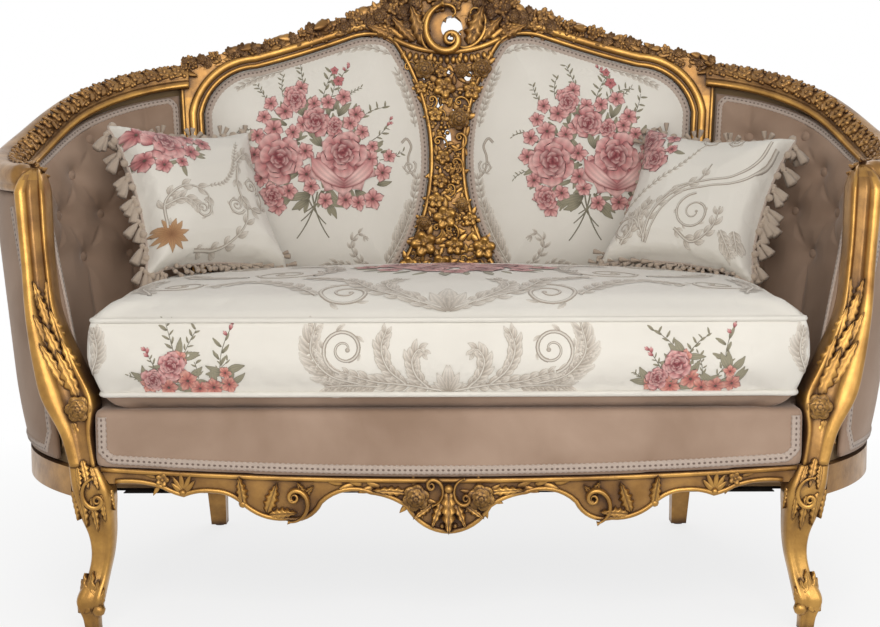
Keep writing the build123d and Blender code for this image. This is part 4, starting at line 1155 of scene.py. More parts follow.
# Flowers over the crest's raised middle (x, z in mm), its piercing and its leaves (x, z, lean, length).
CREST_SPOTS = (
    (30, 985), (60, 972), (50, 945), (80, 955), (98, 962), (75, 930), (105, 940), (125, 947), (15, 968),
    (140, 935), (112, 922), (50, 918), (165, 932), (190, 927))
CREST_FLOWERS = 0.024, 0.032
PIERCE_X, PIERCE_Z, PIERCE_CLEAR = 0.009, 0.928, 0.034
CREST_LEAVES = (
    (0.042, 0.898, 0.35, 1.0, 0.075), (0.06, 0.905, 0.75, 0.75, 0.06), (0.098, 0.913, 0.9, 0.35, 0.055))
# Scrolls round the piercing: motif, x, z, depth, lean, way up, size, thickness.
CREST_SCROLLS = (
    ("volute", -0.012, 0.925, -0.02, 0.25, -1.0, 0.085, 0.14),
    ("c_scroll", -0.018, 0.928, -0.0185, 0.2, 1.0, 0.088, 0.12),
    ("c_scroll", 0.046, 0.926, -0.0185, -0.2, -1.0, 0.075, 0.1))
FLUTE_STEP, FLUTE_Z, FLUTE_BOW, FLUTE_SIZE = 0.0115, 0.8685, 1.55, (0.0105, 0.0175, 0.014)


def crest_edge(side):
    """Stations along the crest's top: place, way along it, way out of it, share from end to middle."""
    points = np.array(crest_top)
    runs = run_lengths(points)

    def at(distance):
        return [float(np.interp(distance, runs, points[:, k])) for k in (0, 1)]

    stations = []
    for distance in np.arange(CREST_AHEAD, runs[-1], CREST_STEP):
        (x, z), ahead = at(distance), at(distance + CREST_AHEAD)
        run = Vector((side * (ahead[0] - x), 0, ahead[1] - z)).normalized()
        grow = Vector((-run.z, 0, run.x))
        stations.append((x, z, run, grow if grow.z > 0 else -grow, distance / runs[-1]))
    return stations


def crest_carving():
    """Garland of flowers, leaves and berries along the crest."""
    for side_name, side in SIDES:
        dice = random.Random(11 if side < 0 else 12)
        items = []
        for k, (x, z, run, grow, share) in enumerate(crest_edge(side)):
            swell = 0.85 + 0.35 * smoothstep(0.0, 0.75, share)
            bunch = 0.8 + 0.45 * (0.5 + 0.5 * sin(k * 0.9 + 1.2 * side))
            for depth, kinds, size in CREST_ROWS:
                label = dice.choice(kinds)
                leaf = label == "leaf"
                below = grow * (depth * swell + dice.uniform(-0.003, 0.002))
                spot = back_point(side * x, z, CARVED_FACE) + below + run * dice.uniform(-0.005, 0.005)
                scale = size * swell * (1.0 if depth else bunch) * dice.uniform(0.85, 1.2)
                scale *= 0.5 if label == "berry" else 1.0
                lean = FRONT + grow * dice.uniform(0.05, 0.45) + run * dice.uniform(-0.35, 0.35)
                spin = run * dice.choice((-1.0, 1.0)) + grow * dice.uniform(-0.5, 0.35)
                wide, tall = (scale * 1.6, scale * 1.35) if leaf else (scale * 1.15, scale)
                spot -= spin.normalized() * tall * (0.4 if leaf else 0.0)
                items.append(motif(label, spot, lean, spin, (wide, tall, scale * 1.2)))
        items += crest_middle(side, dice)
        # The garland takes the darker bronzed gilt, partly painted shade.
        set_out(f"crest_garland_{side_name}", items, BRONZED_AND_SHADED_CARVED)


def crest_middle(side, dice):
    """Denser flowers and acanthus over the raised middle of the crest, clear of its piercing."""
    items = []
    for k, (x, z) in enumerate(CREST_SPOTS):
        place = back_point(side * x * MM, z * MM, CARVED_FACE)
        if hypot(place.x - PIERCE_X, place.z - PIERCE_Z) < PIERCE_CLEAR:
            continue
        size = dice.uniform(*CREST_FLOWERS)
        out = FRONT + Vector((dice.uniform(-0.2, 0.2), 0, 0.1))
        up = (dice.uniform(-1, 1), 0, 1)
        items.append(motif(("blossom", "rose")[k % 2], place, out, up, (size, size, size * 1.2)))
        items += ring_leaves(place, size, 4, dice, size * 0.75)
    for x, z, lean, rise, length in CREST_LEAVES:
        items.append(motif("acanthus", back_point(side * x, z, SWAG_OUT), FRONT, (side * lean, 0, rise),
                           (length * 0.9, length, length * 0.8)))
    return items


def crest_scroll():
    """Scroll that curls into the pierced hole, and the fluted band under the crest."""
    items = []
    for label, x, z, depth, lean, way, size, thick in CREST_SCROLLS:
        items.append(motif(label, back_point(x, z, depth), FRONT, (lean, 0, way), (size, size, thick)))
    for k in range(-7, 8):
        x = FLUTE_STEP * k
        place = back_point(x, FLUTE_Z + FLUTE_BOW * x * x, CARVED_FACE)
        items.append(motif("gadroon", place, FRONT, (-2 * FLUTE_BOW * x, 0, 1.0), FLUTE_SIZE))
    set_out("crest_scroll", items, GILT_CARVED)


# The splat, in mm: flowers (motif, x, z, width), berries (x, z, size), curls (x, z, size, lean).
SPLAT_FLOWERS = (
    ("rose", 63.5, 853, 32), ("rose", 26, 849, 23), ("rose", -42, 852, 32), ("blossom", -10, 846, 22),
    ("blossom", -5, 818, 36), ("blossom", 46, 812, 30), ("blossom", -48, 818, 22), ("rose", 22, 760, 34),
    ("blossom", -22, 768, 24), ("blossom", -8, 690, 25), ("blossom", -14, 647, 26),
    ("blossom", 16, 650, 20), ("blossom", -21, 611, 27), ("rose", 27, 603, 22), ("blossom", -5, 579, 38),
    ("blossom", 41, 576, 24), ("rose", -44, 570, 24), ("blossom", -44, 531, 42), ("blossom", 12, 527, 30),
    ("blossom", 67, 523, 37), ("blossom", -12, 493, 34), ("blossom", -72, 492, 30),
    ("blossom", 46, 487, 30))
SPLAT_BERRIES = (-8, 737, 24), (20, 690, 18), (-38, 600, 16), (18, 552, 18)
SPLAT_CURLS = (
    (22, 716, 34, 0.6), (-10, 714, 30, -0.5), (18, 672, 30, 0.2), (30, 788, 30, -0.9),
    (-30, 788, 28, 0.9), (5, 628, 24, 0.5), (10, 552, 32, -0.3), (-22, 552, 30, 0.8))
# Piercings of the splat: x, z, half width, half height.
SPLAT_HOLES = (
    (0.0, 0.846, 0.013, 0.007), (-0.038, 0.842, 0.0075, 0.012), (0.038, 0.842, 0.0075, 0.012),
    (-0.014, 0.79, 0.006, 0.015), (0.016, 0.782, 0.006, 0.015), (0.0, 0.724, 0.007, 0.017))
SPLAT_FACE, FILL_STEP, FILL_IN, HOLE_MARGIN = -0.0168, 0.0135, 0.011, 0.005
FILL_LOW, FILL_HIGH, FILL_STRAY, FILL_SIZES = 0.484, 0.866, (-0.004, 0.004), (0.016, 0.022)
FILL_KINDS = ("leaf", "leaf", "leaf", "blossom", "volute", "berry")


def pierced(x, z):
    """Whether a place of the splat lies in or too near one of its piercings."""
    return any(hypot((x - hole_x) / (wide + HOLE_MARGIN), (z - hole_z) / (high + HOLE_MARGIN)) < 1
               for hole_x, hole_z, wide, high in SPLAT_HOLES)


def splat_fill(dice):
    """Small leaves, buds and curls between the splat's flowers, clear of its piercings."""
    items = []
    edge_x, edge_z = zip(*splat_edge)
    for z in np.arange(FILL_LOW, FILL_HIGH, FILL_STEP):
        half = float(np.interp(z, edge_z, edge_x)) - FILL_IN
        for x in np.linspace(-half, half, max(2, int(2 * half / FILL_STEP))):
            spot = x + dice.uniform(*FILL_STRAY), z + dice.uniform(*FILL_STRAY)
            if pierced(*spot):
                continue
            label = dice.choice(FILL_KINDS)
            size = dice.uniform(*FILL_SIZES) * (0.5 if label == "berry" else 1.0)
            angle = dice.uniform(0, tau)
            wide = size * (1.15 if label == "leaf" else 1.0)
            items.append(motif(label, back_point(*spot, SPLAT_FACE), FRONT, (cos(angle), 0, sin(angle)),
                               (wide, size, size * 1.1)))
    return items


def splat_carving():
    """Flowers, berries, curling stems and leaves over the pierced splat."""
    dice = random.Random(23)
    items = splat_fill(dice)
    for label, x, z, width in SPLAT_FLOWERS:
        size = width * MM * 1.22
        place = back_point(x * MM, z * MM, SPLAT_FACE - 0.002)
        up = (dice.uniform(-1, 1), 0, dice.uniform(0.2, 1))
        items.append(motif(label, place, FRONT, up, (size, size, size * 1.15)))
        items += ring_leaves(place, size * 1.1, 5, dice, size * 0.5)
    for x, z, size in SPLAT_BERRIES:
        middle = back_point(x * MM, z * MM, SPLAT_FACE)
        for k in range(7):
            aside = Vector((cos(k), 0, sin(k))) * size * MM * 0.36 * (k > 0)
            items.append(motif("berry", middle + aside, FRONT, UP, size * MM * 0.38))
    for x, z, width, lean in SPLAT_CURLS:
        size = width * MM
        place = back_point(x * MM, z * MM, SPLAT_FACE - 0.001)
        items.append(motif("volute", place, FRONT, (lean, 0, 1.0), (size, size, size * 1.3)))
        items += ring_leaves(place, size, 3, dice, size * 0.7)
    set_out("splat_carving", items, GILT_CARVED)


BAND_COUNT, BAND_PLACE = 50, (-0.0135, 0.0325)
BAND_BERRIES = ((-0.009, -0.013), (0.011, -0.012), (-0.01, 0.013), (0.009, 0.012))
BAND_LEAF, BAND_BERRY, BAND_FLOWERS = (0.028, 0.03, 0.015), 0.009, (0.026, 0.032)
# Leaves at a rail's front end: share of its run, lean, length.
RAIL_LEAVES = (
    (0.955, 0.0, 0.044), (0.95, 0.5, 0.036), (0.95, -0.5, 0.036), (0.915, 0.3, 0.036),
    (0.915, -0.3, 0.036))


def rail_face(side, share):
    """Place on an arm rail's carved field, the way along it and the way it faces."""
    place = rail_place(side, share, *BAND_PLACE)
    run = (rail_place(side, share + 0.01, *BAND_PLACE) - place).normalized()
    out = wall_out(side * rail_turn(share)) * -0.72 + Vector((0, 0, 0.7))
    return place, run, out.normalized()


def arm_carving():
    """Band of flowers and crossing leaves along the arm rails, ending in a leaf over each post."""
    for side_name, side in SIDES:
        dice = random.Random(31 if side < 0 else 32)
        items = []
        for k in range(BAND_COUNT):
            place, run, out = rail_face(side, (k + 0.5) / BAND_COUNT * RAIL_END)
            climb = run.cross(out).normalized()
            climb = climb if climb.z > 0 else -climb
            if k % 2:
                size = dice.uniform(*BAND_FLOWERS)
                spot = place + climb * dice.uniform(-0.002, 0.003)
                items.append(motif("blossom", spot, out, climb, (size, size, size * 0.8)))
                for step, rise in BAND_BERRIES:
                    items.append(motif("berry", place + run * step + climb * rise, out, climb, BAND_BERRY))
            else:
                for lean, tip in ((-1, -1), (-1, 1), (1, -1), (1, 1)):
                    grow = climb * tip * 0.75 + run * lean
                    items.append(motif("leaf", place - grow * 0.004, out, grow, BAND_LEAF))
        for share, lean, length in RAIL_LEAVES:
            place, run, out = rail_face(side, share)
            grow = run + run.cross(out) * lean
            items.append(motif("acanthus", place, out, grow, (length * 0.7, length, length * 0.5)))
        # The band takes the darker bronzed gilt, partly painted shade.
        set_out(f"arm_carving_{side_name}", items, BRONZED_AND_SHADED_CARVED)


# Leaves of the posts (z, share, lean, length), of their bends and the legs' heads (lean, length), and of
# the knees and feet (z, z of the tip, degrees, length).
POST_LEAVES = (
    (0.346, 0.7, 0.1, 0.074), (0.362, 0.52, 0.45, 0.07), (0.372, 0.86, -0.1, 0.062),
    (0.39, 0.66, 0.2, 0.066), (0.41, 0.5, 0.4, 0.058), (0.418, 0.84, -0.05, 0.056),
    (0.438, 0.66, 0.2, 0.058), (0.462, 0.55, 0.3, 0.05), (0.466, 0.82, -0.05, 0.046))
BEND_LEAVES = ((-0.3, 0.044), (0.1, 0.052), (0.45, 0.04))
HEAD_LEAVES = ((-0.5, 0.034), (0.0, 0.042), (0.5, 0.034))
KNEE_LEAVES = (
    (0.205, 0.165, -118, 0.04), (0.2, 0.15, -92, 0.05), (0.205, 0.155, -64, 0.048),
    (0.208, 0.165, -38, 0.042), (0.21, 0.175, -150, 0.03), (0.21, 0.172, -8, 0.036))
FOOT_LEAVES = (
    (0.034, 0.066, -136, 0.036), (0.034, 0.076, -104, 0.048), (0.034, 0.082, -72, 0.06),
    (0.034, 0.078, -40, 0.056), (0.036, 0.07, -8, 0.042))
POST_OUT, POST_SUNK = Vector((-0.12, -1.0, 0.22)), -0.0036
# The flower boss and the leaves below it: place on the post's front (z, share, forward), way they face.
BOSS_AT, BOSS_OUT, BOSS_SIZE = (0.328, 0.68, -0.001), (-0.1, -1, 0.1), (0.04, 0.04, 0.034)
BEND_AT, BEND_OUT, BEND_WIDE, BEND_HIGH = (0.308, 0.5, -0.002), (0, -1, -0.05), 0.026, 0.018
# On the leg: the head leaves' root, tip and middle, the knee's scroll, and the berry in the foot's curl.
HEAD_Z, HEAD_TIP_Z, HEAD_TURN, HEAD_SPREAD = 0.254, 0.215, -92, 44
KNEE_SCROLL = (0.208, 0.19, -94, 0.04, 0.044, 0.036)
FOOT_BERRY, FOOT_BERRY_OUT, FOOT_BERRY_SIZE = (0.036, radians(-138), -0.001), (-0.7, -0.7, 0), 0.022


def post_carving():
    """Leaves up each post, a flower boss at its bend, and leaves over the knee, leg and foot."""
    for side_name, side in SIDES:
        items = []

        def put(label, place, out, up, size):
            items.append(motif(label, flipped(place, side), flipped(out, side), flipped(up, side), size))

        def hug(label, z, tip_z, angle, wide, length, high):
            turn = radians(angle)
            start = leg_point(z, turn)
            grow = (leg_point(tip_z, turn) - start).normalized()
            face = Vector((cos(turn), sin(turn), 0.0))
            put(label, start + face * 0.0008, face - grow * face.dot(grow), grow, (wide, length, high))

        for z, share, lean, length in POST_LEAVES:
            run = (post_face(z + 0.03, share) - post_face(z, share)).normalized()
            put("acanthus", post_face(z, share, POST_SUNK), POST_OUT, run + Vector((lean * 0.4, 0, 0)),
                (length * 0.6, length, length * 0.34))
        put("rose", post_face(*BOSS_AT), BOSS_OUT, UP, BOSS_SIZE)
        for lean, length in BEND_LEAVES:
            size = BEND_WIDE, length, BEND_HIGH
            put("acanthus", post_face(*BEND_AT), BEND_OUT, (lean, 0.05, -1), size)
        for lean, length in HEAD_LEAVES:
            hug("acanthus", HEAD_Z - 0.02 * abs(lean), HEAD_TIP_Z, HEAD_TURN + HEAD_SPREAD * lean,
                length * 0.62, length, length * 0.5)
        hug("volute", *KNEE_SCROLL)
        for leaves, wide, high in ((KNEE_LEAVES, 0.5, 0.62), (FOOT_LEAVES, 0.66, 0.36)):
            for z, tip_z, angle, length in leaves:
                hug("acanthus", z, tip_z, angle, length * wide, length, length * high)
        put("berry", leg_point(*FOOT_BERRY), FOOT_BERRY_OUT, UP, FOOT_BERRY_SIZE)
        set_out(f"post_carving_{side_name}", items, GILT_CARVED)


# Motifs of the apron in mm: motif, x, z, way it grows (x, z), size, proud.
# First its middle, then its right half.
APRON_MIDDLE = (
    ("acanthus", 0, 210, 0, -1, (50, 62, 70), 4), ("berry", 0, 212, 0, 1, (15, 15, 15), 7),
    ("berry", 0, 152, 0, 1, (10, 10, 10), 0), ("berry", -9, 157, 0, 1, (10, 10, 10), 0),
    ("berry", 9, 157, 0, 1, (10, 10, 10), 0), ("volute", -18.5, 207, -0.1, 1, (34, 38, 66), 1),
    ("volute", 18.5, 207, 0.1, -1, (34, 38, 66), 1))
APRON_HALF = (
    ("acanthus", 6, 200, 0.42, -1, (34, 48, 50), 1), ("rose", 47, 199, 0.3, 1, (41, 41, 44), 0),
    ("acanthus", 24, 188, 0.75, -0.55, (28, 34, 34), 0), ("acanthus", 60, 206, 1, 0.1, (30, 50, 40), 0),
    ("leaf", 98, 213, 1, 0.45, (24, 24, 24), 0), ("leaf", 108, 214, 1, -0.35, (24, 24, 24), 0),
    ("leaf", 124, 217, 1, 0.35, (24, 24, 24), 0), ("leaf", 136, 218, 1, -0.3, (24, 24, 24), 0),
    ("leaf", 152, 219, 1, 0.2, (24, 24, 24), 0), ("volute", 218, 186, -0.2, 1, (46, 48, 85), 0),
    ("acanthus", 262, 178, -0.35, 1, (40, 46, 50), 0), ("acanthus", 258, 174, -1, 0.1, (36, 40, 44), 0),
    ("acanthus", 206, 197, 0.45, 1, (28, 28, 36), 0), ("acanthus", 212, 198, -0.75, 0.8, (24, 26, 32), 0),
    ("acanthus", 296, 188, 0.12, 1, (34, 44, 50), 0), ("berry", 297, 190, 0, 1, (13, 13, 13), 0),
    ("leaf", 383, 205, -0.9, 1, (22, 26, 26), 0.5), ("leaf", 383, 205, -0.4, 1, (22, 32, 26), 0.5),
    ("leaf", 383, 205, 0.1, 1, (22, 34, 26), 0.5), ("leaf", 383, 205, 0.55, 1, (22, 30, 26), 0.5),
    ("leaf", 383, 205, 1, 1, (22, 24, 26), 0.5), ("berry", 383, 207, 0, 1, (11, 11, 11), 2),
    ("blossom", 412, 226, 0, 1, (22, 22, 24), 0))
# Leaves round the apron's flowers in mm: x, z, reach across and up, size, angles.
APRON_SPRAYS = (
    (47, 199, 13, 13, (18, 20, 16), (0.6, 1.7, 2.8, 3.9, 5.0, 6.0)),
    (412, 226, 10, 8, (14, 19, 12), (0.3, 2.8, 4.2)))


def apron_carving():
    """Acanthus, roses and scrolls in the apron's middle, scrolls and palmettes out to the knees."""
    items = []

    def put(label, x, z, lean, rise, size, proud=0.0):
        place = (x * MM, APRON_Y - proud * MM, z * MM)
        items.append(motif(label, place, FRONT, (lean, 0, rise), [length * MM for length in size]))

    for row in APRON_MIDDLE:
        put(*row)
    for side in (-1, 1):
        for label, x, z, lean, *row in APRON_HALF:
            put(label, side * x, z, side * lean, *row)
        for x, z, across, up, size, angles in APRON_SPRAYS:
            for angle in angles:
                c, s = cos(angle), sin(angle)
                put("leaf", side * x + across * c, z + up * s, c, s, size)
    set_out("apron_carving", items, GILT_CARVED)


# Woven flowers and scrolls of the brocade, sewn as raised stitches on the cloth


STITCH_LIFT, STITCH_LAYER, STITCH_SINK = 0.0007, 0.0002, 0.0006
STREAK, DISC_SIDES = 0.2, 9
ROSE_OUTER, ROSE_INNER = (ROSE_DARK, ROSE, ROSE_PALE), (ROSE_DARK, ROSE_DEEP, ROSE_PALE)
ROSE_HEART, BUD_DYES = (ROSE_DARK, ROSE_DEEP, ROSE), (ROSE_DEEP, ROSE, ROSE)
RIM_DYES = (ROSE_DEEP, ROSE_PALE, ROSE)
BLOSSOM_DYES = (ROSE_DARK, (0.56, 0.25, 0.236), ROSE_PALE)
LEAF_DYES = (LEAF_DARK, LEAF_SAGE, LEAF_SAGE)
SCROLL_DYES = (SCROLL_DARK, SCROLL, SCROLL_PALE)
SPRAY_DYES = (ROSE_DEEP, (0.52, 0.195, 0.15), (0.68, 0.4, 0.33))
RUST_DYES = ((0.2, 0.085, 0.032), (0.36, 0.19, 0.085), (0.48, 0.31, 0.17))
# Rings of a full rose: petals, then root, length and half width as shares of its radius, dyes.
SEWN_ROSE = (
    (5, 0.28, 0.76, 0.56, ROSE_OUTER), (5, 0.18, 0.62, 0.46, ROSE_OUTER),
    (4, 0.1, 0.5, 0.4, ROSE_INNER), (4, 0.04, 0.38, 0.28, ROSE_INNER),
    (3, 0.0, 0.26, 0.19, ROSE_INNER), (2, 0.0, 0.13, 0.11, ROSE_HEART))


def blend_dye(a, b, share):
    """Colour between two dyes."""
    return tuple(p + (q - p) * share for p, q in zip(a, b))


def beside(spot, angle, reach):
    """A pattern place at an angle and a reach from another."""
    return spot[0] + reach * cos(angle), spot[1] + reach * sin(angle)


def curl(start, heading, length, bend, steps):
    """A stem from a start, turning evenly through bend along its length."""
    points = [start]
    for _ in range(steps):
        heading += bend / steps
        points.append(beside(points[-1], heading, length / steps))
    return points


def flow(points, count, side=1.0, foot=0.0):
    """A smooth curve of count steps through pattern places in mm, on a side and above a foot."""
    points = np.array(points) * (side * MM, MM) + (0.0, foot)
    runs = run_lengths(points)
    return [tuple(curve_at(d, runs, points)) for d in np.linspace(0.0, runs[-1], count + 1)]


def spiral(centre, radius, start, turns, steps=40):
    """A curve winding in to a centre from its outer end at the start angle."""
    shares = [i / steps for i in range(steps + 1)]
    return [beside(centre, start + turns * tau * t, radius * (1 - 0.86 * t ** 0.85)) for t in shares]


class Needlework:
    """Stitches gathered in flat pattern coordinates, sewn to a cloth at the end."""

    def __init__(self, dice):
        self.dice = dice
        self.spots, self.lifts, self.dyes, self.faces = [], [], [], []

    def add(self, spot, lift, dye):
        """Add one stitch point."""
        self.spots.append(spot)
        self.lifts.append(lift)
        self.dyes.append(dye)

    def petal(self, root, heading, length, wide, dyes, layer, pointed=False, bow=0.0):
        """A streaked petal or leaf from its root: dyes are the root, the body and the rim."""
        rows, cols = (6, 5) if length < 0.03 else (8, 7)
        first, (x, y) = len(self.spots), root
        raised = STITCH_LIFT + layer * STITCH_LAYER
        low = raised - 1.4 * STITCH_LAYER if layer else -STITCH_SINK
        for r in range(rows):
            t = r / (rows - 1)
            spread = (t + 0.12) ** 0.6 * (1.02 - t ** 5) ** 0.5
            if pointed:
                spread = sin(pi * min(0.97, 0.06 + t * 0.94))
            c, s = cos(heading + bow * t), sin(heading + bow * t)
            tone = blend_dye(*dyes[:2], t / 0.45) if t < 0.45 else blend_dye(*dyes[1:], (t - 0.45) / 0.55)
            for col in range(cols):
                u = 2 * col / (cols - 1) - 1
                edge = r in (0, rows - 1) or col in (0, cols - 1)
                back, aside = 0.0 if pointed else 0.16 * length * u * u * t, u * wide * spread
                streak = 1.0 + (STREAK if col % 2 else -STREAK) * (1 - 0.6 * t)
                rim = blend_dye(tone, dyes[0], 0.55 if pointed else 0.8)
                self.add((x - back * c - aside * s, y - back * s + aside * c), low if edge else raised,
                         rim if edge else tuple(v * streak for v in tone))
            x += c * length / (rows - 1)
            y += s * length / (rows - 1)
        self.faces += grid_faces(rows, cols, start=first)

    def disc(self, spot, radius, core, rim, layer):
        """A small round knot of thread."""
        raised, first = STITCH_LIFT + layer * STITCH_LAYER, len(self.spots)
        self.add(spot, raised, core)
        for share, lift, dye in ((0.6, raised, blend_dye(core, rim, 0.5)), (1.0, -STITCH_SINK, rim)):
            for k in range(DISC_SIDES):
                self.add(beside(spot, tau * k / DISC_SIDES, radius * share), lift, dye)
        ring = first + 1
        self.faces += [(first, ring + k, ring + (k + 1) % DISC_SIDES) for k in range(DISC_SIDES)]
        self.faces += grid_faces(2, DISC_SIDES, wrap=True, start=ring)

    def band(self, path, half, rim, body, layer=0):
        """A stem or scroll line that tapers from half[0] to half[1], darker along its rims."""
        raised, first = STITCH_LIFT + layer * STITCH_LAYER, len(self.spots)
        section = ((-1.0, -STITCH_SINK, rim), (-0.62, raised * 0.8, rim), (0.0, raised, body),
                   (0.62, raised * 0.8, rim), (1.0, -STITCH_SINK, rim))
        for i, (x, y) in enumerate(path):
            behind, ahead = neighbours(path, i)
            dx, dy = ahead[0] - behind[0], ahead[1] - behind[1]
            wide = (half[0] + (half[1] - half[0]) * i / (len(path) - 1)) / (hypot(dx, dy) or 1.0)
            for across, lift, dye in section:
                self.add((x - dy * wide * across, y + dx * wide * across), lift, dye)
        self.faces += grid_faces(len(path), len(section), start=first)

    def rose(self, spot, radius, layer):
        """A full rose of overlapping streaked petals, deep at their roots and pale at their rims."""
        dice = self.dice
        first = dice.uniform(0, tau)
        for ring, (count, root, length, wide, dyes) in enumerate(SEWN_ROSE):
            for k in range(count):
                angle = first + ring * 0.7 + tau * (k + dice.uniform(-0.16, 0.16)) / count
                size = radius * dice.uniform(0.9, 1.1)
                self.petal(beside(spot, angle, root * size), angle, length * size, wide * size, dyes,
                           layer + 2 * ring + k % 2, bow=dice.uniform(-0.25, 0.25))

    def blossom(self, spot, radius, dyes=ROSE_OUTER):
        """A small five-petalled flower."""
        dice = self.dice
        first = dice.uniform(0, tau)
        for k in range(5):
            angle = first + tau * (k + dice.uniform(-0.1, 0.1)) / 5
            self.petal(spot, angle, radius * dice.uniform(0.85, 1.05), radius * 0.46, dyes, 2 + k % 2)
        self.disc(spot, radius * 0.18, LEAF_DARK, ROSE_DARK, 5)

    def leaf(self, spot, length, turn, layer=0, dyes=LEAF_DYES):
        """A pointed leaf grown from its stem."""
        self.petal(spot, turn, length, length * self.dice.uniform(0.15, 0.2), dyes, layer, pointed=True,
                   bow=self.dice.uniform(-0.5, 0.5))

    def sprig(self, spot, length, turn, buds):
        """A thin stem with alternate leaves, and buds towards its tip."""
        dice = self.dice
        stem = curl(spot, turn, length, dice.uniform(-0.9, 0.9), 9)
        self.band(stem, (0.0009, 0.0005), LEAF_DARK, LEAF_SAGE)
        for k, place in enumerate(stem[2:], 2):
            side = 1 if k % 2 else -1
            if buds and k > 6:
                self.petal(place, turn + side * 0.5, 0.009, 0.0036, ROSE_OUTER, 1)
            else:
                self.leaf(place, length * dice.uniform(0.18, 0.3), turn + side * dice.uniform(0.5, 1.0))

    def acanthus(self, path, half, lobe, sides=(-1, 1), layer=0, every=3):
        """A scrolled stem with acanthus lobes swept forward along one or both of its sides."""
        dice, count = self.dice, len(path)
        for i in range(1, count - 2, every):
            heading = atan2(path[i + 1][1] - path[i][1], path[i + 1][0] - path[i][0])
            size = lobe * sin(pi * (0.16 + 0.74 * i / count)) ** 0.7
            for side in sides:
                turn, long = heading + side * dice.uniform(0.55, 0.85), size * dice.uniform(0.85, 1.15)
                self.petal(path[i], turn, long, size * 0.24, SCROLL_DYES, layer, pointed=True,
                           bow=-side * 0.7)
        self.band(path, half, SCROLL_DARK, SCROLL_PALE, layer + 2)

    def volute(self, centre, radius, start, hand, half, lobe):
        """A winding scroll with lobes on its outer turn and a knot in its eye."""
        path = spiral(centre, radius, start, 1.75 * hand)
        self.acanthus(path[:22], (half * 0.8, half), lobe, (-hand,), every=4)
        self.band(path, (half, half * 0.45), SCROLL_DARK, SCROLL_PALE, 3)
        self.disc(path[-1], half * 1.1, SCROLL, SCROLL_DARK, 4)

    def fan(self, spot, side, leaves):
        """Pale leaves fanned to one side from the foot of a scroll pattern."""
        for lean, length in leaves:
            self.petal(spot, 1.57 - side * lean, length, length * 0.2, SCROLL_DYES, 2, pointed=True)

    def bouquet(self, cx, cy):
        """Large bunch: full roses, an open rose with falling petals, small flowers, leaves and stems."""
        dice = self.dice

        def at(x, y):
            return cx + x * MM, cy + y * MM

        for x, y, length, turn in BOUQUET_STEMS:
            stem = curl(at(x, y), turn, length * MM, 0.5 * copysign(1, turn + 1.6), 10)
            self.band(stem, (0.0018, 0.0012), LEAF_DARK, LEAF_SAGE)
        for _ in range(LEAF_GROUND):
            angle, reach = dice.uniform(0, tau), dice.uniform(0.25, 1.0)
            spot = at(GROUND_X * reach * cos(angle), GROUND_MIDDLE + GROUND_Y * reach * sin(angle))
            self.leaf(spot, dice.uniform(0.026, 0.04), angle + dice.uniform(-0.7, 0.7))
        for x, y, length, turn, buds in BOUQUET_SPRIGS:
            self.sprig(at(x, y), length * MM, turn, buds)
        for x, y, length, turn in BOUQUET_LEAVES:
            self.leaf(at(x, y), length * MM, turn, 1)
            self.leaf(at(x, y), length * MM * 0.8, turn + dice.choice((-0.6, 0.6)))
        for x, y, radius in BOUQUET_FLOWERS:
            self.blossom(at(x, y), radius * MM * 1.08, BLOSSOM_DYES if radius > 12 else BUD_DYES)
        for k, (x, y, length, turn) in enumerate(OPEN_SKIRT):
            self.petal(at(x, y), turn, length * MM, SKIRT_HALF, ROSE_OUTER, 5 + k)
        self.rose(at(*OPEN_HEART), OPEN_RADIUS, 10)
        for x, y, length, turn, bow in OPEN_RIMS:
            self.petal(at(x, y), turn, length * MM, RIM_HALF, RIM_DYES, 22, bow=bow)
        for x, y, radius in BOUQUET_ROSES:
            self.rose(at(x, y), radius * MM, 6)

    def sew(self, name, cloth_at, body):
        """Lay every stitch on the cloth: cloth_at gives a point and its normal for a pattern place."""
        laid = [cloth_at(x, y) for x, y in self.spots]
        points = [place + out * lift for (place, out), lift in zip(laid, self.lifts)]
        mesh = mesh_of(name, points, self.faces)
        for face in [face for face in mesh.polygons if face.normal.dot(laid[face.vertices[0]][1]) < 0]:
            face.flip()
        layer = mesh.attributes.new("dye", "FLOAT_COLOR", "POINT")
        layer.data.foreach_set("color", np.array([(*dye, 1.0) for dye in self.dyes]).ravel())
        declare(add_object(name, mesh, STITCHES), body, "floral_brocade")


# One bouquet in its own places, in mm: stems, leaves and the open rose's skirt (x, y, length, heading),
# its curled rims (and bow), sprigs (and whether they bud), flowers and roses (x, y, radius). The ground of
# leaves has a number, a middle and a reach each way.
BOUQUET_STEMS = (
    (-18, -62, 90, -1.5), (-8, -62, 94, -1.72), (-30, -60, 72, -1.3), (4, -60, 70, -1.95),
    (12, -58, 58, -2.1))
LEAF_GROUND, GROUND_MIDDLE, GROUND_X, GROUND_Y = 60, 8, 108, 80
BOUQUET_SPRIGS = (
    (-30, 125, 50, 1.95, False), (0, 95, 62, 1.45, False), (12, 100, 55, 0.95, False),
    (30, 120, 52, 1.62, True), (62, 62, 62, 0.95, False), (90, 30, 52, 0.45, True),
    (105, -5, 45, 0.15, False), (-95, 100, 40, 2.25, False), (-120, 50, 30, 2.9, False),
    (-120, -20, 30, 3.2, False), (-70, 110, 40, 1.9, False), (45, 112, 30, 0.6, False))
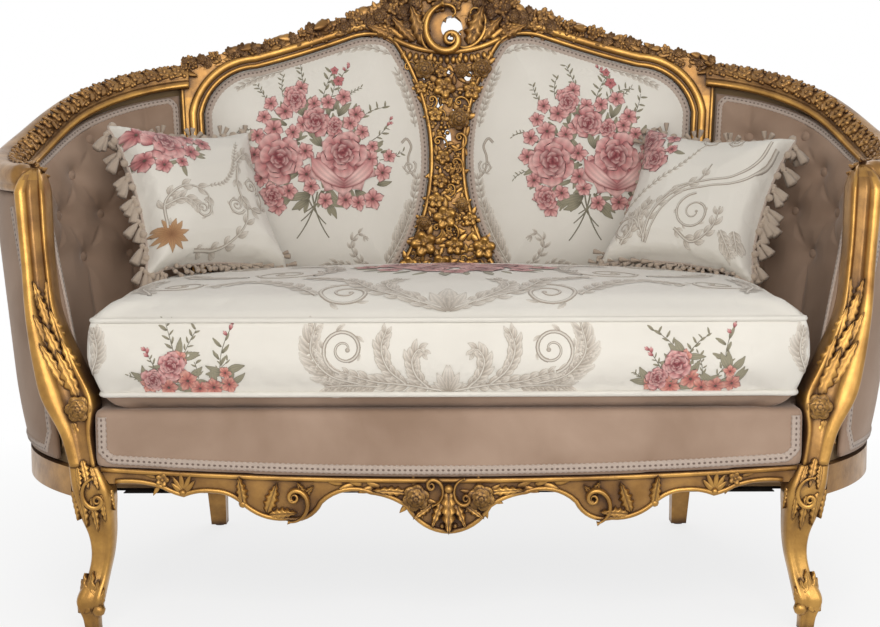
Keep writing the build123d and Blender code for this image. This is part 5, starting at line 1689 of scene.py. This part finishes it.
BOUQUET_LEAVES = (
    (-20, -66, 50, 3.3), (-24, -76, 36, 3.7), (0, -74, 44, -0.35), (10, -82, 34, -0.9),
    (-60, 70, 36, 2.2), (-30, 75, 36, 2.0), (30, 75, 34, 0.9), (55, 30, 34, 0.6), (-10, 45, 34, 1.4),
    (0, 20, 36, 2.0), (75, -10, 30, 0.2), (-45, 30, 30, 1.2), (60, -60, 34, -0.5), (-55, -70, 34, -2.4),
    (100, -50, 28, 0.1), (-100, 10, 30, 2.8))
BOUQUET_FLOWERS = (
    (-38, 126, 16), (-49, 99, 19), (-92, 98, 15), (-86, 52, 20), (-116, 40, 16), (-52, 46, 16),
    (40, 110, 16), (30, 139, 11), (23, 158, 8), (74, 46, 15), (110, -28, 18), (92, -76, 20),
    (43, -77, 18), (-92, -64, 22), (-80, -88, 18), (-110, -37, 17), (-20, -52, 16), (66, -82, 16),
    (-60, -60, 17), (92, 20, 13), (-30, 12, 18), (-28, -30, 19), (2, -4, 18), (86, -4, 20), (-122, 6, 17),
    (-66, 84, 19), (12, 100, 15), (62, 78, 17), (-14, 98, 15), (122, 2, 13), (-104, 74, 15),
    (-58, 118, 14), (6, -78, 16), (-34, 60, 16), (52, 62, 16))
OPEN_SKIRT = (
    (34, -4, 66, -2.65), (42, -4, 64, -0.5), (36, -8, 62, -2.1), (40, -8, 62, -1.02),
    (38, -10, 62, -1.57))
OPEN_HEART, OPEN_RADIUS, SKIRT_HALF, RIM_HALF = (38, 8), 0.043, 0.028, 0.0165
OPEN_RIMS = (44, -52, 88, 2.72, -0.7), (36, -52, 78, 0.42, 0.7)
BOUQUET_ROSES = (-76, -3, 47), (-11, 66, 29), (23, 56, 18), (-48, 106, 21), (-88, -70, 22)


def cloth_ray(piece, towards):
    """How a pattern place finds a piece's cloth: cast along towards, else the nearest point."""
    surface = surface_of(piece)

    def find(start):
        hit, out = surface.ray_cast(start, towards)[:2]
        if hit is None:
            hit, out = surface.find_nearest(start + towards)[:2]
        return hit, out if out.dot(towards) < 0 else -out
    return find


PANEL_BOUQUETS = {"left": (-0.229, 0.69), "right": (0.268, 0.684)}
# Scroll borders of a back panel: points of the splat's edge they follow, lobe, half width; stems in mm.
BORDER_IN, BORDER_STEP = -0.021, 0.006
PANEL_BORDERS = ((1, 14, 0.034, 0.003), (12, 19, 0.02, 0.0016), (26, 38, 0.02, 0.0016))
PANEL_BEND = (62, 655), (70, 668), (72, 690), (67, 712), (76, 724), (84, 716)
PANEL_STEMS = (
    ((125, 482), (160, 500), (176, 535), (160, 552), (146, 538)), ((150, 480), (205, 496), (245, 484)),
    ((105, 880), (150, 893), (215, 882)), ((300, 850), (345, 836), (385, 815)),
    ((395, 500), (405, 540), (398, 590)))


def panel_brocade():
    """Rose bouquets and grey scroll borders of the two back panels."""
    for side_name, side in SIDES:
        work = Needlework(random.Random(51 if side < 0 else 52))
        work.bouquet(*PANEL_BOUQUETS[side_name])
        edge = offset_path(splat_edge, BORDER_IN)
        for first, last, lobe, half in PANEL_BORDERS:
            path = evenly([(side * x, z) for x, z in edge[first:last]], BORDER_STEP)
            work.acanthus(path, (half, half * 0.5), lobe, every=2)
        work.band(flow(PANEL_BEND, 24, side), (0.0022, 0.003), SCROLL_DARK, SCROLL, 1)
        work.volute((side * 0.07, 0.672), 0.013, 1.57 + side * 0.6, side, 0.0022, 0.01)
        for points in PANEL_STEMS:
            work.acanthus(flow(points, 24, side), (0.0022, 0.001), 0.018)
        find = cloth_ray(back_pads[side_name], -FRONT)
        work.sew(f"panel_roses_{side_name}", lambda x, z: find(Vector((x, BACK_RAY_Y, z))), "frame")


# The cushion's front, in mm above its seam: right half of the scroll cartouche, and the sprays beside it.
SPRAY_XS, SPRAY_FOOT = (-0.372, 0.338), SEAM_LOW_Z + 0.004
CARTOUCHE_STEMS = (
    ((10, 2), (55, 10), (105, 16), (150, 30)), ((28, 6), (46, 26), (50, 50), (40, 62), (31, 55)),
    ((60, 12), (84, 34), (94, 66), (86, 90)))
CARTOUCHE_FRONDS = ((125, 12), (168, 26), (193, 58), (186, 100)), ((100, 8), (140, 10), (175, 8))
CORNER_FROND = (506, 380), (494, 415), (500, 450)
FRONT_FAN = ((0.0, 0.04), (0.45, 0.032), (0.9, 0.024))
TOP_FAN = ((0.0, 0.07), (0.45, 0.056), (0.9, 0.042))
SPRAY_FLOWERS = (
    (-14, 34, 17), (-36, 22, 14), (4, 18, 15), (-24, 8, 14), (-52, 12, 12), (40, 8, 14), (62, 12, 13),
    (-6, 50, 12), (20, 6, 13), (58, 30, 9))
SPRAY_SPRIGS = (
    (-10, 45, 58, 1.85, False), (-4, 45, 50, 1.25, False), (-34, 26, 40, 2.1, True),
    (52, 20, 82, 1.75, True), (34, 10, 46, 1.2, False), (-56, 12, 26, 2.4, False),
    (20, 16, 40, 1.5, False))
SPRAY_ROSES = (-18, 40, 22), (-44, 20, 18)
# The cushion's top, in mm: roses and flowers (x, y, radius), volutes (x, y, radius, start, hand), stems.
TOP_ROSES = (-70, -40, 50), (12, -24, 56), (94, -44, 50), (-30, -100, 40), (54, -104, 40)
TOP_FLOWERS = (-128, -60, 30), (152, -64, 30), (-92, -110, 26), (116, -112, 26), (12, -140, 28)
TOP_LEAVES = 26
TOP_VOLUTES = (
    (146, -300, 46, 1.57, -1), (255, -120, 60, 2.6, 1), (400, -230, 50, 0.6, -1), (330, 60, 50, 2.2, -1))
TOP_STEMS = (
    ((10, -345), (50, -320), (90, -260), (70, -215)), ((40, -330), (105, -290), (150, -220), (215, -185)),
    ((190, -310), (235, -250), (300, -210), (350, -250)), ((205, -160), (180, -80), (200, 0), (260, 30)),
    ((310, -140), (370, -110), (420, -30)), ((430, -310), (460, -200), (450, -100)))


def cushion_front(dice):
    """Sprays and the scroll cartouche on the cushion's front."""
    work = Needlework(dice)
    for spray_x in SPRAY_XS:
        def at(x, z):
            return spray_x + x * MM, SPRAY_FOOT + z * MM

        for x, z, length, turn, buds in SPRAY_SPRIGS:
            work.sprig(at(x, z), length * MM, turn, buds)
        for x, z, radius in SPRAY_FLOWERS:
            for _ in range(3):
                work.leaf(at(x, z), 0.03, dice.uniform(-0.2, 3.3), 1)
            work.blossom(at(x, z), radius * MM * 1.18, SPRAY_DYES)
        for x, z, radius in SPRAY_ROSES:
            work.rose(at(x, z), radius * MM, 5)
    for side in (-1, 1):
        work.volute((side * 0.146, SPRAY_FOOT + 0.062), 0.034, -1.57 + side * 0.2, side, 0.0036, 0.018)
        for points in CARTOUCHE_STEMS:
            work.acanthus(flow(points, 30, side, SPRAY_FOOT), (0.0034, 0.0016), 0.022, layer=1)
        for points in CARTOUCHE_FRONDS:
            work.acanthus(flow(points, 30, side, SPRAY_FOOT), (0.003, 0.0018), 0.034, every=2)
        work.acanthus(flow(CORNER_FROND, 20, side), (0.0026, 0.0016), 0.026, every=2)
        work.fan((side * 0.002, SPRAY_FOOT), side, FRONT_FAN)
    find = cloth_ray(cushion, -FRONT)
    work.sew("cushion_front_pattern", lambda x, z: find(Vector((x, CUSHION_RAY_Y, z))), "seat_cushion")


def cushion_top(dice):
    """Roses and scrolls over the cushion's top."""
    work = Needlework(dice)
    for x, y, radius in TOP_ROSES:
        work.rose((x * MM, y * MM), radius * MM, 3)
    for x, y, radius in TOP_FLOWERS:
        work.blossom((x * MM, y * MM), radius * MM)
    for k in range(TOP_LEAVES):
        turn = tau * k / TOP_LEAVES
        spot = 0.012 + 0.125 * cos(turn), -0.07 + 0.07 * sin(turn)
        work.leaf(spot, dice.uniform(0.035, 0.05), turn, k % 2)
    for side in (-1, 1):
        for x, y, radius, start, hand in TOP_VOLUTES:
            turn = start if side > 0 else pi - start
            work.volute((side * x * MM, y * MM), radius * MM, turn, hand * side, 0.0046, 0.024)
        for points in TOP_STEMS:
            work.acanthus(flow(points, 30, side), (0.0042, 0.002), 0.034, layer=1)
        work.fan((side * 0.002, -0.352), side, TOP_FAN)
    find = cloth_ray(cushion, DOWN)
    work.sew("cushion_top_pattern", lambda x, y: find(Vector((x, y, CUSHION_RAY_Z))), "seat_cushion")


# Braid, piping, buttons and tassels


def evenly(points, step, closed=False):
    """Points at an even step along a path of any dimension."""
    points = np.array([tuple(p) for p in points])
    if closed:
        points = np.vstack((points, points[:1]))
    runs = run_lengths(points)
    places = np.linspace(0.0, runs[-1], max(2, int(round(runs[-1] / step))) + 1)
    return [tuple(np.interp(d, runs, column) for column in points.T) for d in places]


BRAID_PITCH, BRAID_THICK = 0.0078, 0.0024
BRAID_STEP = BRAID_PITCH / 5
BRAID_SECTION = (
    (-1.0, -0.6), (-0.92, 0.55), (-0.5, 1.0), (0.0, 0.75), (0.5, 1.0), (0.92, 0.55), (1.0, -0.6))


def braid(name, runs, half):
    """Gimp braid along runs of (place, out), with scalloped edges and its own map along the ribbon."""
    points, faces, maps = [], [], []
    for run in runs:
        start, travelled = len(points), 0.0
        for i, (place, out) in enumerate(run):
            (before, _), (after, _) = neighbours(run, i)
            travelled += (place - before).length
            across = (after - before).normalized().cross(out).normalized()
            along = travelled / BRAID_PITCH
            wide = half * (1 + 0.1 * cos(tau * along))
            for v, rise in BRAID_SECTION:
                points.append(place + across * wide * v + out * BRAID_THICK * rise)
                maps.append((along, v))
        faces += ring_faces(len(run), len(BRAID_SECTION), start)
    mesh = outward(mesh_of(name, points, faces))
    corners = np.empty(len(mesh.loops), dtype=np.int32)
    mesh.loops.foreach_get("vertex_index", corners)
    mesh.uv_layers.new(name="ribbon").data.foreach_set("uv", np.array(maps)[corners].ravel())
    declare(add_object(name, mesh, BRAID_CLOTH), "frame", "taupe_velvet")


def softened(run, rounds):
    """Even out the outward directions along a run."""
    for _ in range(rounds):
        places, outs = zip(*run)
        outs = [sum(neighbours(outs, i), out * 2).normalized() for i, out in enumerate(outs)]
        run = list(zip(places, outs))
    return run


def panel_braid():
    """Braid round the two back panels."""
    for side_name, side in SIDES:
        find = cloth_ray(back_pads[side_name], -FRONT)
        loop = evenly(offset_path(panel_loop, -0.0092, closed=True), BRAID_STEP, closed=True)
        run = [find(Vector((side * x, BACK_RAY_Y, z))) for x, z in loop]
        braid(f"panel_braid_{side_name}", [softened(run, 4)], 0.0074)


# Braid of the arms: depths at which its tracks are laid out, degrees in from the stile and the post, and
# height below the rail.
INSIDE_PLANE, OUTSIDE_PLANE, OUTSIDE_FOOT, OUTSIDE_END = -0.02, 0.02, 0.258, 14.0
STILE_IN, POST_IN, OUTSIDE_IN, RAIL_DROP = 1.7, 1.3, 1.2, 0.0085
# Depths from which rays find the cloth inside and outside the arms.
RAY_IN, RAY_OUT = -0.16, 0.12


def arm_tracks():
    """Headings and heights of the braid: inside round the tufted pad, outside down the post and along."""
    def under(turn):
        return rail_under(turn, INSIDE_PLANE) - RAIL_DROP

    def inner(z):
        return side_span(z, INSIDE_PLANE)

    def outer(z):
        return side_span(z, OUTSIDE_PLANE)[1]

    first, last = inner(0.8)[0] + STILE_IN, inner(0.6)[1] - POST_IN
    inside = [(inner(z)[0] + STILE_IN, z) for z in np.linspace(0.46, under(first) - 0.014, 40)]
    inside += [(turn, under(turn)) for turn in np.linspace(first + 2.0, last - 1.6, 120)]
    inside += [(inner(z)[1] - POST_IN, z) for z in np.linspace(under(last) - 0.01, 0.36, 50)]
    outside = [(outer(z) - OUTSIDE_IN, z) for z in np.linspace(0.615, 0.285, 50)]
    outside += [(turn, OUTSIDE_FOOT) for turn in np.linspace(outer(OUTSIDE_FOOT) - 3.4, OUTSIDE_END, 120)]
    return inside, outside


def arm_braid():
    """Braid inside the arms and round the outside covers."""
    inside, outside = arm_tracks()
    for side_name, side in SIDES:
        runs = []
        faces = (inside, arm_pads, RAY_IN, 1), (outside, arm_covers, RAY_OUT, -1)
        for track, pieces, start, way in faces:
            surface = surface_of(pieces[side_name])
            hits = [surface.ray_cast(wall_point(side * turn, z, start), wall_out(side * turn) * way)[0]
                    for turn, z in track]
            places = evenly([hit for hit in hits if hit is not None], BRAID_STEP)
            runs.append(softened([surface.find_nearest(Vector(place))[:2] for place in places], 6))
        braid(f"arm_braid_{side_name}", runs, 0.0058)


BORDER_END_X, BORDER_FOOT, BORDER_TOP_Z, BORDER_ROUND = 0.496, 0.0125, 0.318, 0.012


def border_braid():
    """Braid round the ends and the foot of the velvet seat border."""
    find = cloth_ray(border, -FRONT)
    rail = [(x, z + BORDER_FOOT) for x, z in RAIL_TOP if abs(x) < BORDER_END_X - BORDER_ROUND]
    ends = np.linspace(BORDER_TOP_Z, rail[0][1] + BORDER_ROUND, 20)
    track = [(-BORDER_END_X, z) for z in ends] + rail + [(BORDER_END_X, z) for z in ends[::-1]]
    run = [find(Vector((x, BORDER_RAY_Y, z))) for x, z in evenly(track, BRAID_STEP)]
    braid("border_braid", [softened(run, 6)], 0.0066)


def seam_ring(piece, centre, x_way, y_way, reach, count=480):
    """Closed path round a stuffed piece, found by rays towards its middle."""
    surface = surface_of(piece)
    ways = [x_way * cos(tau * k / count) + y_way * sin(tau * k / count) for k in range(count)]
    hits = [surface.ray_cast(centre + way * reach, -way)[0] for way in ways]
    return [hit for hit in hits if hit is not None]


def ring_places(ring, step):
    """Places at an even step round a closed path."""
    return [Vector(p) for p in evenly(ring, step, closed=True)][:-1]


PIPING_R, PIPING_OUT, PIPING_Y = 0.0042, 0.0016, -0.06


def cushion_piping():
    """Piping along the two seams of the seat cushion."""
    parts = []
    for z in (SEAM_LOW_Z, SEAM_HIGH_Z):
        ring = seam_ring(cushion, Vector((0, PIPING_Y, z)), Vector((1, 0, 0)), -FRONT, 1.2)
        path = ring_places(ring, 0.006)
        outs = [Vector((p.x * 0.3, p.y - PIPING_Y, 0)).normalized() for p in path]
        path = [p + out * PIPING_OUT for p, out in zip(path, outs)]
        parts.append(tube(path, outs, PIPING_R, PIPING_R, closed=True))
    declare(joined("cushion_piping", parts, PIPING_CORD), "seat_cushion", "floral_brocade")


BUTTON_SIZE, BUTTON_PROUD = 0.022, 0.0005


def tuft_buttons():
    """Velvet buttons pulled into the tufts."""
    for side_name, side in SIDES:
        surface = surface_of(arm_pads[side_name])
        items = []
        for turn, z in [(turn, z) for z, row in TUFT_ROWS for turn in row]:
            out = wall_out(side * turn)
            hit = surface.ray_cast(wall_point(side * turn, z, RAY_IN), out)[0]
            items.append(motif("button", hit - out * BUTTON_PROUD, -out, UP, BUTTON_SIZE))
        set_out(f"covered_buttons_{side_name}", items, VELVET_CLOTH, "frame", "taupe_velvet",
                f"tuft_buttons_{side_name}")


# Each pillow's middle, heading, lean and roll.
PILLOW_PLACES = {
    "left": ((-0.4298, 0.1212, 0.616), 43.0, 28.0, -2.0),
    "right": ((0.4325, 0.1313, 0.6083), -30.0, 32.0, -5.0)}


def pillow_axes(side_name):
    """Middle of a pillow and its width, height and face directions."""
    centre, *turns = PILLOW_PLACES[side_name]
    a, b, c = (radians(value) for value in turns)
    across = Vector((cos(a), sin(a), 0))
    face = Vector((sin(a) * cos(b), -cos(a) * cos(b), sin(b)))
    wide = across * cos(c) + face.cross(across) * sin(c)
    return Vector(centre), wide, face.cross(wide), face


CORD_R, TASSEL_STEP, TASSEL_LONG, FRINGE_LONG = 0.003, 0.0215, 0.037, 0.019
OUTER_EDGE, UPPER_EDGE = 0.095, 0.1
KNOT_OUTER, KNOT_UPPER, KNOT_INNER = 0.016, 0.015, 0.009


def pillow_trim(side_name, side):
    """Twisted cord round a pillow's seam, tassels on its outer and lower edges, knots on the others."""
    centre, wide, tall, face = pillow_axes(side_name)
    seam = seam_ring(pillows[side_name], centre, wide, tall, 0.4)
    path = ring_places(seam, 0.004)
    parts = [tube(path, [face] * len(path), CORD_R, CORD_R, sides=6, closed=True)]
    cord = joined(f"pillow_cord_{side_name}", parts, TWISTED_CORD)
    declare(cord, f"pillow_{side_name}", "floral_brocade")
    dice = random.Random(71 if side < 0 else 72)
    items = []
    for k, place in enumerate(ring_places(seam, TASSEL_STEP)):
        u, v = (place - centre).dot(wide), (place - centre).dot(tall)
        way = (wide * u + tall * v).normalized()
        along = face.cross(way)
        outer, upper, lower = side * u > OUTER_EDGE, v > UPPER_EDGE, v < -UPPER_EDGE
        if not outer and not lower:
            knot = place + way * 0.002 + face * 0.004
            items.append(motif("berry", knot, face + way, way, KNOT_UPPER if upper else KNOT_INNER))
            if k % 3 or not upper:
                continue
        if outer and k % 2:
            items.append(motif("berry", place + way * 0.004, face, way, KNOT_OUTER))
            continue
        for lean in (-1.0, 0.1, 1.0):
            hang = way * 0.7 + face * 0.6 + along * lean * 0.6
            if outer:
                hang = DOWN + way * 0.55 + along * lean * 0.42 + face * 0.25
            hang = (hang + Vector([dice.uniform(-0.12, 0.12) for _ in range(3)])).normalized()
            size = (TASSEL_LONG if outer else FRINGE_LONG) * dice.uniform(0.86, 1.12)
            out = face.cross(hang).normalized().cross(hang)
            spot = place + way * 0.003 + along * lean * 0.005
            items.append(motif("tassel", spot, out, -hang, (size * 0.8, size, size * 0.8)))
    set_out(f"pillow_tassels_{side_name}", items, TASSEL_YARN, f"pillow_{side_name}", "floral_brocade")


# Patterns of the two pillow faces, in mm: roses and flowers (x, y, radius), double bands, scrolled stems,
# volutes (x, y, radius, start, hand), a garland, and rays of a rust flower.
BAND_APART, RUST_PLACE, RUST_LONG, RUST_RAYS = 4.6, (-0.1, -0.084), 0.03, 11
PILLOW_PATTERNS = {
    "left": {
        "roses": ((-66, 88, 40),),
        "flowers": ((-112, 104, 22), (-108, 56, 20), (-20, 100, 20), (-26, 66, 18), (-82, 42, 18),
            (6, 86, 18), (-50, 46, 14)),
        "bands": (),
        "stems": (((-102, -72), (-92, -20), (-52, 2), (-18, -16), (-24, -44)),
            ((-96, -30), (-60, -22), (-40, -46)), ((-60, -110), (0, -104), (48, -66), (60, -22)),
            ((64, 46), (50, 10), (54, -30), (80, -48), (98, -20), (92, 12)),
            ((60, 50), (84, 66), (104, 48))),
        "volutes": ((-34, -42, 18, 1.2, -1), (34, -36, 17, -0.6, -1), (80, 4, 17, -1.2, 1)),
        "garland": ((-12, 0), (22, 8), (46, 32), (62, 66), (78, 94)),
        "rays": RUST_RAYS},
    "right": {
        "roses": ((-104, 94, 32), (-80, 52, 26)),
        "flowers": ((-116, 56, 17), (-62, 104, 17), (-110, 124, 16), (-54, 74, 13)),
        "bands": (((118, 108), (108, 66), (76, 26), (30, 10), (-14, -6), (-40, -40), (-58, -100)),),
        "stems": (((-58, -104), (-50, -52), (-20, -10), (20, 20), (30, 48)),
            ((-4, -78), (30, -96), (62, -72), (66, -30)), ((-56, -100), (-72, -62), (-58, -30)),
            ((78, -74), (104, -112)), ((98, -70), (112, -104)), ((-98, -112), (-80, -80), (-90, -54))),
        "volutes": ((24, -46, 36, 1.7, 1), (10, 104, 20, 0.4, 1), (52, 104, 16, 2.4, -1),
            (-94, -88, 26, 0.2, 1)),
        "garland": ((-116, -62), (-86, -18), (-60, 10), (-26, 42), (2, 88)),
        "rays": 0}}


def pillow_brocade(side_name, side):
    """Rose corner, scrolls and a leaf garland on a pillow's face."""
    centre, wide, tall, face = pillow_axes(side_name)
    dice = random.Random(81 if side < 0 else 82)
    work = Needlework(dice)
    pattern = PILLOW_PATTERNS[side_name]
    for points in pattern["bands"]:
        for aside in (-BAND_APART, BAND_APART):
            path = flow([(x + aside, y - aside) for x, y in points], 40)
            work.acanthus(path, (0.003, 0.0022), 0.0, sides=())
    for points in pattern["stems"]:
        work.acanthus(flow(points, 30), (0.0032, 0.0016), 0.022, layer=1, every=5)
    for x, y, radius, start, hand in pattern["volutes"]:
        work.volute((x * MM, y * MM), radius * MM, start, hand, 0.0028, 0.012)
    work.acanthus(flow(pattern["garland"], 36), (0.0008, 0.0006), 0.011, every=2)
    for x, y, radius in pattern["flowers"]:
        for _ in range(2):
            work.leaf((x * MM, y * MM), 0.03, dice.uniform(0, tau))
        work.blossom((x * MM, y * MM), radius * MM)
    for x, y, radius in pattern["roses"]:
        work.rose((x * MM, y * MM), radius * MM, 3)
    for k in range(pattern["rays"]):
        work.leaf(RUST_PLACE, RUST_LONG, tau * k / RUST_RAYS, 2, RUST_DYES)
    find = cloth_ray(pillows[side_name], -face)
    work.sew(f"pillow_pattern_{side_name}", lambda x, y: find(centre + wide * x + tall * y + face * 0.3),
             f"pillow_{side_name}")


# Studio


def place_camera():
    """Camera of the photograph."""
    yaw, pitch, roll = CAMERA_YAW, CAMERA_PITCH, CAMERA_ROLL
    forward = Vector((sin(yaw) * cos(pitch), cos(yaw) * cos(pitch), sin(pitch)))
    level = Vector((cos(yaw), -sin(yaw), 0.0))
    upright = level.cross(forward)
    right = level * cos(roll) + upright * sin(roll)
    up = upright * cos(roll) - level * sin(roll)
    data = bpy.data.cameras.new("photo_camera")
    data.sensor_fit, data.sensor_width = "HORIZONTAL", 36.0
    data.lens = data.sensor_width * FOCAL_PX / PHOTO_W
    camera = link("photo_camera", data)
    turn = Matrix((right, up, -forward)).transposed()
    camera.matrix_world = Matrix.Translation(CAMERA_AT) @ turn.to_4x4()
    bpy.context.scene.camera = camera


def area_light(name, place, target, size, power, colour):
    """A soft square lamp aimed at a point."""
    data = bpy.data.lights.new(name, "AREA")
    data.energy, data.size, data.color = power, size, colour
    lamp = link(name, data)
    lamp.location = place
    lamp.rotation_euler = (Vector(target) - Vector(place)).to_track_quat("-Z", "Y").to_euler()
    lamp.visible_camera = False


def seen_directly(tree):
    """1 for rays that show a background: camera, glossy and transmission rays."""
    rays = tree.nodes.new("ShaderNodeLightPath").outputs
    seen = reckon(tree, "MAXIMUM", rays["Is Camera Ray"], rays["Is Glossy Ray"])
    return reckon(tree, "MAXIMUM", seen, rays["Is Transmission Ray"])


def mixed_shaders(tree, share, a, b):
    """One shader turning into another."""
    return node(tree, "ShaderNodeMixShader", i0=share, i1=a.outputs[0], i2=b.outputs[0]).outputs[0]


def pale_floor():
    """Pale matt floor that keeps a soft shadow by the settee and fades to plain white away from it."""
    pale, tree, shader = finish_of("pale_floor", Base_Color=FLOOR_GREY, Roughness=0.9)
    away = node(tree, "ShaderNodeVectorMath", {"operation": "LENGTH"}, i0=object_place(tree))
    fade = ramp(tree, away.outputs["Value"], 0.5, 1.6, 0.78, 1.0)
    seen = reckon(tree, "MULTIPLY", fade, seen_directly(tree))
    white = node(tree, "ShaderNodeEmission", Strength=1.0)
    feed(tree, tree.nodes["Material Output"], Surface=mixed_shaders(tree, seen, shader, white))
    return pale


FLOOR_HALF = 6.0
AMBIENT = 0.42


def studio():
    """White surroundings, pale floor and soft lamps."""
    world = bpy.data.worlds.new("white_studio")
    world.use_nodes = True
    bpy.context.scene.world = world
    tree = world.node_tree
    tree.nodes.clear()
    ambient = node(tree, "ShaderNodeBackground", Color=WHITE, Strength=AMBIENT)
    white = node(tree, "ShaderNodeBackground", Color=WHITE, Strength=1.0)
    out = tree.nodes.new("ShaderNodeOutputWorld")
    feed(tree, out, Surface=mixed_shaders(tree, seen_directly(tree), ambient, white))
    corners = [(x * FLOOR_HALF, y * FLOOR_HALF, 0) for x, y in ((-1, -1), (1, -1), (1, 1), (-1, 1))]
    floor = add_object("studio_floor", mesh_of("studio_floor", corners, [(0, 1, 2, 3)]), pale_floor())
    area_light("key_light", (0.0, -2.2, 1.45), (0, -0.1, 0.45), 1.6, 32.0, (1.0, 0.97, 0.93))
    area_light("fill_light", (1.3, -2.1, 0.9), (0, 0, 0.45), 1.6, 12.0, (0.97, 0.98, 1.0))
    area_light("rear_light", (0.4, 2.6, 2.2), (0, 0, 0.6), 2.0, 16.0, (1.0, 1.0, 1.0))
    bpy.context.scene.view_settings.view_transform = "Standard"


# Finishes of the imported nodes; the darker bronzed gilt of the rails, splat and rear legs is partly
# painted shade.
NODE_FINISHES = {
    BRONZED_AND_SHADED: ("crest_rail", "back_splat", "side_seat_rail_left", "side_seat_rail_right",
              "front_seat_rail", "rear_leg_left", "rear_leg_right"),
    GILT: ("back_stile_left", "back_stile_right", "lower_back_rail", "back_seat_rail"),
    BEECH: ("corner_blocks", "webbing_cleat", "frame_dowels"),
    JUTE: ("webbing_crosswise", "webbing_lengthwise", "back_backing_left", "back_backing_right",
           "side_backing_left", "side_backing_right"),
    CAMBRIC: ("dust_cover",),
    STEEL: ("leg_glides",)}
for finish, names in NODE_FINISHES.items():
    for name in names:
        dress(nodes[name].data, finish)

back_pads = {side_name: back_pad(side_name, side) for side_name, side in SIDES}
arm_pads, arm_covers = side_upholstery()
cushion = seat_cushion()
pillows = {side_name: throw_pillow(side_name) for side_name, _ in SIDES}
border = seat_border()
outside_back()
arm_rails()
arm_posts()
front_legs()
gilt_mouldings()
crest_carving()
crest_scroll()
splat_carving()
arm_carving()
post_carving()
apron_carving()
panel_brocade()
cushion_dice = random.Random(61)
cushion_front(cushion_dice)
cushion_top(cushion_dice)
panel_braid()
arm_braid()
border_braid()
cushion_piping()
tuft_buttons()
for side_name, side in SIDES:
    pillow_brocade(side_name, side)
    pillow_trim(side_name, side)

place_camera()
studio()
